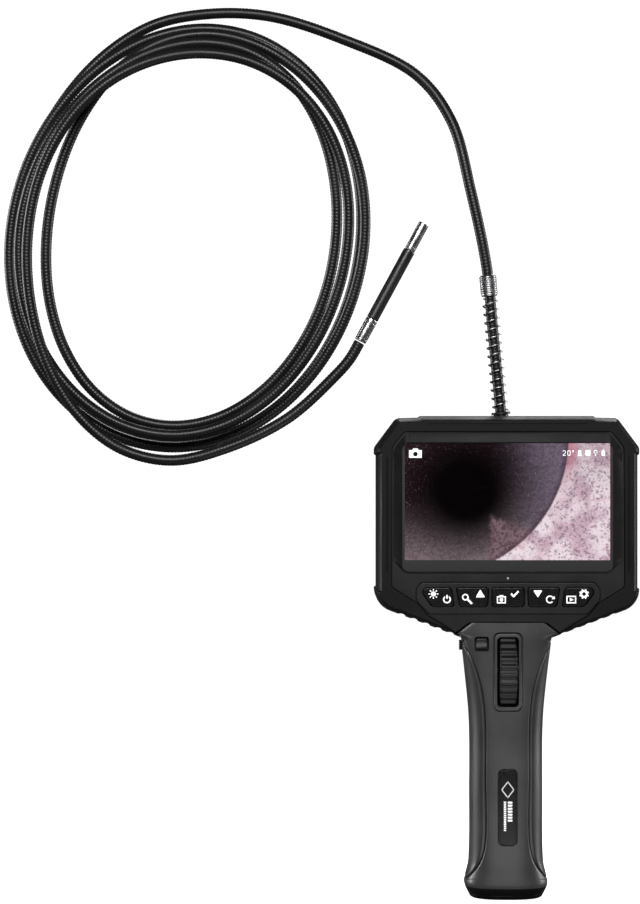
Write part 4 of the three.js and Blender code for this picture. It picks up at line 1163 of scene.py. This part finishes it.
# ---------------------------------------------------------------- strain relief and insertion tube
def strain_relief():
    profile = [(3.3, -10), (4, -10), (4, 0.8), (5.0, 0.8), (5.2, 1.0), (5.2, 1.7), (4.7, 2.2), (3.3, 2.2)]
    gland = turned(profile, AT_EXIT, 48, loop=True)
    piece("gland_ring", gland, ["cable_gland"], "handset", [DARK])

    turns, steps = SPRING["turns"], 40
    path = []
    count = round(turns * steps)
    for i in range(count + 1):
        a = 2 * math.pi * i / steps
        height = SPRING["start"] + SPRING["length"] * i / count
        path.append(Vector((SPRING["radius"] * math.cos(a), SPRING["radius"] * math.sin(a), height)))
    spring = swept(path, [SPRING["wire"]], 10)
    spring.data.transform(AT_EXIT)
    piece("strain_spring", spring, ["relief_spring"], "handset", [WIRE], sharp=60)

    start, end = COLLAR["start"], COLLAR["start"] + COLLAR["length"]
    profile = [(3.3, start), (4.0, start), (4.3, start + 0.2)]
    rings = 9
    for i in range(rings):
        low = start + 0.3 + (end - start - 1.0) * i / rings
        pitch = (end - start - 1.0) / rings
        size = COLLAR["radius"] - 0.5 + 0.5 * min(1, (i + 1) / 2)
        for share, depth in ((0, 0.45), (0.2, 0.1), (0.5, 0), (0.8, 0.1)):
            profile.append((size - depth, low + share * pitch))
    profile += [(4.2, end - 0.6), (3.8, end - 0.1), (3.3, end)]
    collar = turned(profile, AT_EXIT, 48, loop=True)
    piece("wound_collar", collar, ["spring_collar"], "handset", [WIRE], sharp=70)


def half_size(keys, first_crossing, u):
    """A half size of the coil at u turns, eased between the crossings that the two columns describe."""
    step = (u - first_crossing) * 2
    before = math.floor(step)

    def value_at(crossing):
        turn = COIL_TURNS[min(max(crossing // 2, 0), len(COIL_TURNS) - 1)]
        return turn[keys[crossing % 2]]

    t = step - before
    ease = t * t * (3 - 2 * t)
    return value_at(before) * (1 - ease) + value_at(before + 1) * ease


def coil_point(u):
    angle = math.pi / 2 + 2 * math.pi * u
    across = half_size((1, 3), 0.25, u) * math.cos(angle)
    up = half_size((0, 2), 0, u) * math.sin(angle)
    x = COIL["x"] + across + COIL["skew"] * up
    return Vector((x, COIL["back"] - COIL["pitch"] * u, COIL["z"] + up))


def tube_path():
    along = Vector((-math.sin(LEAN), 0, math.cos(LEAN)))
    points = [EXIT + along * distance for distance in (-10 - GAP, 20, 50, 80)]
    rise = [(-18.5, 2, 383), (-29, 6, 422), (-48, 10, 447.6), (-88, 14, 467.6)]
    rise.append((-128, COIL["back"], 480.4))
    coil = [coil_point(i / 20) for i in range(math.ceil(COIL_END * 20))]
    tail = [(x, TIP.y, z) for x, z in ((-117.4, 260.6), (-92.4, 283), (-84.3, 292.2), (TIP.x, TIP.z))]
    return spline([*points, *rise, *coil, *tail], 24)


def insertion_tube():
    """The coated spiral tube: a groove and a flat crest in every pitch."""
    path = resampled(tube_path(), RIB_PITCH / 3)
    tube = swept(path, [TUBE_RADIUS - 0.17, TUBE_RADIUS, TUBE_RADIUS], 14)
    piece("ribbed_tube", tube, ["insertion_tube"], "handset", [TUBE], sharp=80)


# ---------------------------------------------------------------- steerable tip
def tip_point(height):
    return AT_TIP @ (Vector((0, 0, height)) * MM) - Vector((0, 0, BASE * MM))


def tip():
    top = FERRULE_LENGTH + GAP + SLEEVE["length"]
    end = FERRULE_LENGTH
    ferrule = turned([
        (2.2, GAP), (3.05, GAP), (3.25, 0.55), (3.25, 1.9), (3.1, 2.05), (3.1, 2.35), (3.25, 2.5),
        (3.25, end - 2.3), (3.1, end - 2.15), (3.1, end - 1.85), (3.25, end - 1.7), (3.25, end - 0.3),
        (3.05, end), (2.2, end),
    ], AT_TIP, 48, loop=True)
    link_profile = [(1.4, end - 0.1), (2.45, end - 0.1), (2.45, end + 3.4), (1.4, end + 3.4)]
    ferrule_link = turned(link_profile, AT_TIP, 32, loop=True)
    with_parts(ferrule, [ferrule_link], 0)
    piece("crimp_ferrule", ferrule, ["tip_ferrule"], "handset", [STEEL])

    joints = [FIRST_HINGE + HINGE_PITCH * i for i in range(5)]
    bounds = [FERRULE_LENGTH + GAP] + [joint + HINGE_PITCH / 2 for joint in joints[:-1]] + [top]
    for i, joint in enumerate(joints):
        low, high = bounds[i], bounds[i + 1]
        steps = round((high - low) / 0.4)
        heights = [low + (high - low) * k / steps for k in range(steps + 1)]
        skin_points = [(SLEEVE["outer"], z) for z in heights]
        if i == 0:
            skin_points[0] = (SLEEVE["outer"] - 0.2, low)
        if i == 4:
            skin_points[-1] = (SLEEVE["outer"] - 0.2, high)
        profile = skin_points + [(SLEEVE["inner"], z) for z in reversed(heights)]
        sleeve = turned(profile, AT_TIP, 40, loop=True)
        piece(f"sleeve_{i + 1}", sleeve, ["bending_sleeve"], None, [SLEEVE_RUBBER], sharp=60)
        start, end = tip_point(joint - HINGE_PITCH / 2), tip_point(joint + HINGE_PITCH / 2)
        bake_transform(sleeve)

    low, high = top + GAP, top + GAP + HEAD_LENGTH
    shell = turned([
        (2.2, low), (2.7, low), (2.85, low + 0.2), (2.85, low + 1.6), (2.74, low + 1.7), (2.74, low + 2.0),
        (2.85, low + 2.1), (2.85, high - 0.35), (2.6, high), (2.3, high), (2.2, high - 0.3),
    ], AT_TIP, 48, loop=True)
    piece("steel_head", shell, ["head_shell"], "camera_head", [STEEL])

    lamps = turned([
        (1.2, high - 1.6), (1.9, high - 1.6), (1.9, high - 0.7),
        (1.75, high - 0.6), (1.35, high - 0.6), (1.2, high - 0.7),
    ], AT_TIP, 36, loop=True)
    piece("lamp_ring", lamps, ["led_ring"], "camera_head", [LAMP])
    lens = turned([
        (0.9, high - 1.8), (0.9, high - 0.75), (0.75, high - 0.62), (0.5, high - 0.54), (0.2, high - 0.5),
    ], AT_TIP, 32)
    piece("front_lens", lens, ["camera_lens"], "camera_head", [GLOSS])


# ---------------------------------------------------------------- pieces kept from the CAD model
def coat(material, *nodes):
    for node in nodes:
        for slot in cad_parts[node].material_slots:
            slot.material = material


def coat_kept_nodes():
    coat(BOARD, "main_board", "keypad_board")
    coat(SILICONE, "keypad_mat")
    coat(ZINC, "display_frame", "usb_socket", "card_slot")
    coat(BLUED, "wheel_bracket", "wheel_axle")
    # the cable drum is coated dark so that the slot beside the thumb wheel shows black: painted shade
    coat(DARK, "cable_drum")
    coat(BRASS, "axle_bush_left", "axle_bush_right", "battery_contact", "gland_nut")
    coat(CELL_WRAP, "battery_cell")
    coat(WIRE, "battery_spring", "steering_sheath_left", "steering_sheath_right")
    coat(STEEL, "head_adapter", *(f"bend_link_{i}" for i in range(1, 5)))
    coat(ZINC, "handle_screw_1", "handle_screw_2", *(f"head_screw_{i}" for i in range(1, 5)))
    coat(GLOSS, "camera_module")


# ---------------------------------------------------------------- studio
def backdrop():
    """A pale round floor that curves up into the wall behind it.

    The camera sees it as evenly lit paper. The object is lit as in a dark studio: to its surfaces the
    paper is dim, apart from a pool of light on the floor in front of it.
    """
    s = Surface("studio_paper", 0.9)
    seen = s.node("ShaderNodeLightPath").outputs["Is Camera Ray"]
    paper = s.mix(s.noise(0.004, 2.0), grey(247), grey(252))
    from_pool = {0: s.place, 1: (0, -165, 0)}
    away = s.node("ShaderNodeVectorMath", from_pool, operation="DISTANCE").outputs["Value"]
    pool = s.spread(away, 70, 130, 3.0, 0.02)
    s.give("Base Color", s.mix(seen, grey(60), paper))
    s.give("Emission Color", paper)
    s.give("Emission Strength", s.math("MAXIMUM", seen, pool))
    profile = [(0.5, 0), (300, 0), (2600, 0)]
    profile += [(2600 + x, z) for x, z in arc(0, 600, 600, -75, 0, 6)] + [(3200, 3400)]
    angles = [2 * math.pi * i / 96 for i in range(96)]
    rings = [[(r * math.cos(a), r * math.sin(a), z - 0.2) for a in angles] for r, z in profile]
    count = len(angles)
    faces = []
    for k in range(len(rings) - 1):
        for i in range(count):
            j = (i + 1) % count
            faces.append((k * count + i, k * count + j, (k + 1) * count + j, (k + 1) * count + i))
    floor = new_object([p for points in rings for p in points], faces)
    floor.name = "studio_floor"
    floor.data.materials.append(s.material)
    floor.data.shade_smooth()


def softbox(name, location, target, width, height, power, spread=110):
    light = bpy.data.lights.new(name, "AREA")
    light.shape = "RECTANGLE"
    light.size, light.size_y = width, height
    light.energy = power
    light.spread = math.radians(spread)
    obj = bpy.data.objects.new(name, light)
    bpy.context.scene.collection.objects.link(obj)
    obj.location = location
    aim = Vector(target) - Vector(location)
    obj.rotation_euler = aim.to_track_quat("-Z", "Y").to_euler()


def studio():
    backdrop()
    target = (-0.05, 0, 0.25)
    softbox("left_light", (-1.4, 0.4, 0.5), target, 0.5, 1.1, 8)
    softbox("right_light", (1.4, 0.35, 0.35), target, 0.5, 1.0, 7.5)
    softbox("front_light", (-0.2, -1.8, 1.1), target, 1.2, 0.5, 17)
    softbox("back_light", (0.2, 1.5, 1.5), target, 1.2, 0.6, 2, 60)
    world = bpy.data.worlds.new("studio")
    world.use_nodes = True
    world.node_tree.nodes["Background"].inputs["Color"].default_value = (1, 1, 1, 1)
    world.node_tree.nodes["Background"].inputs["Strength"].default_value = 0.04
    bpy.context.scene.world = world
    bpy.context.scene.view_settings.view_transform = "Standard"


def camera():
    """Level with the middle of the object, straight in front, from a metre and a half away."""
    distance, view_height = 1.5, 0.4882
    data = bpy.data.cameras.new("camera")
    data.sensor_width = 36
    data.lens = 36 * distance / view_height
    obj = bpy.data.objects.new("camera", data)
    bpy.context.scene.collection.objects.link(obj)
    obj.location = (-0.1002, -distance, 0.2395)
    obj.rotation_euler = (math.pi / 2, 0, 0)
    bpy.context.scene.camera = obj


guard_frame()
front_housing()
rear_housing()
display()
status_led()
port_door()
keypad()
front_cover()
side_grips()
rear_handle()
base_cap()
label_plate()
handle_button()
lock_slider()
steering_wheel()
strain_relief()
insertion_tube()
tip()
coat_kept_nodes()
studio()
camera()
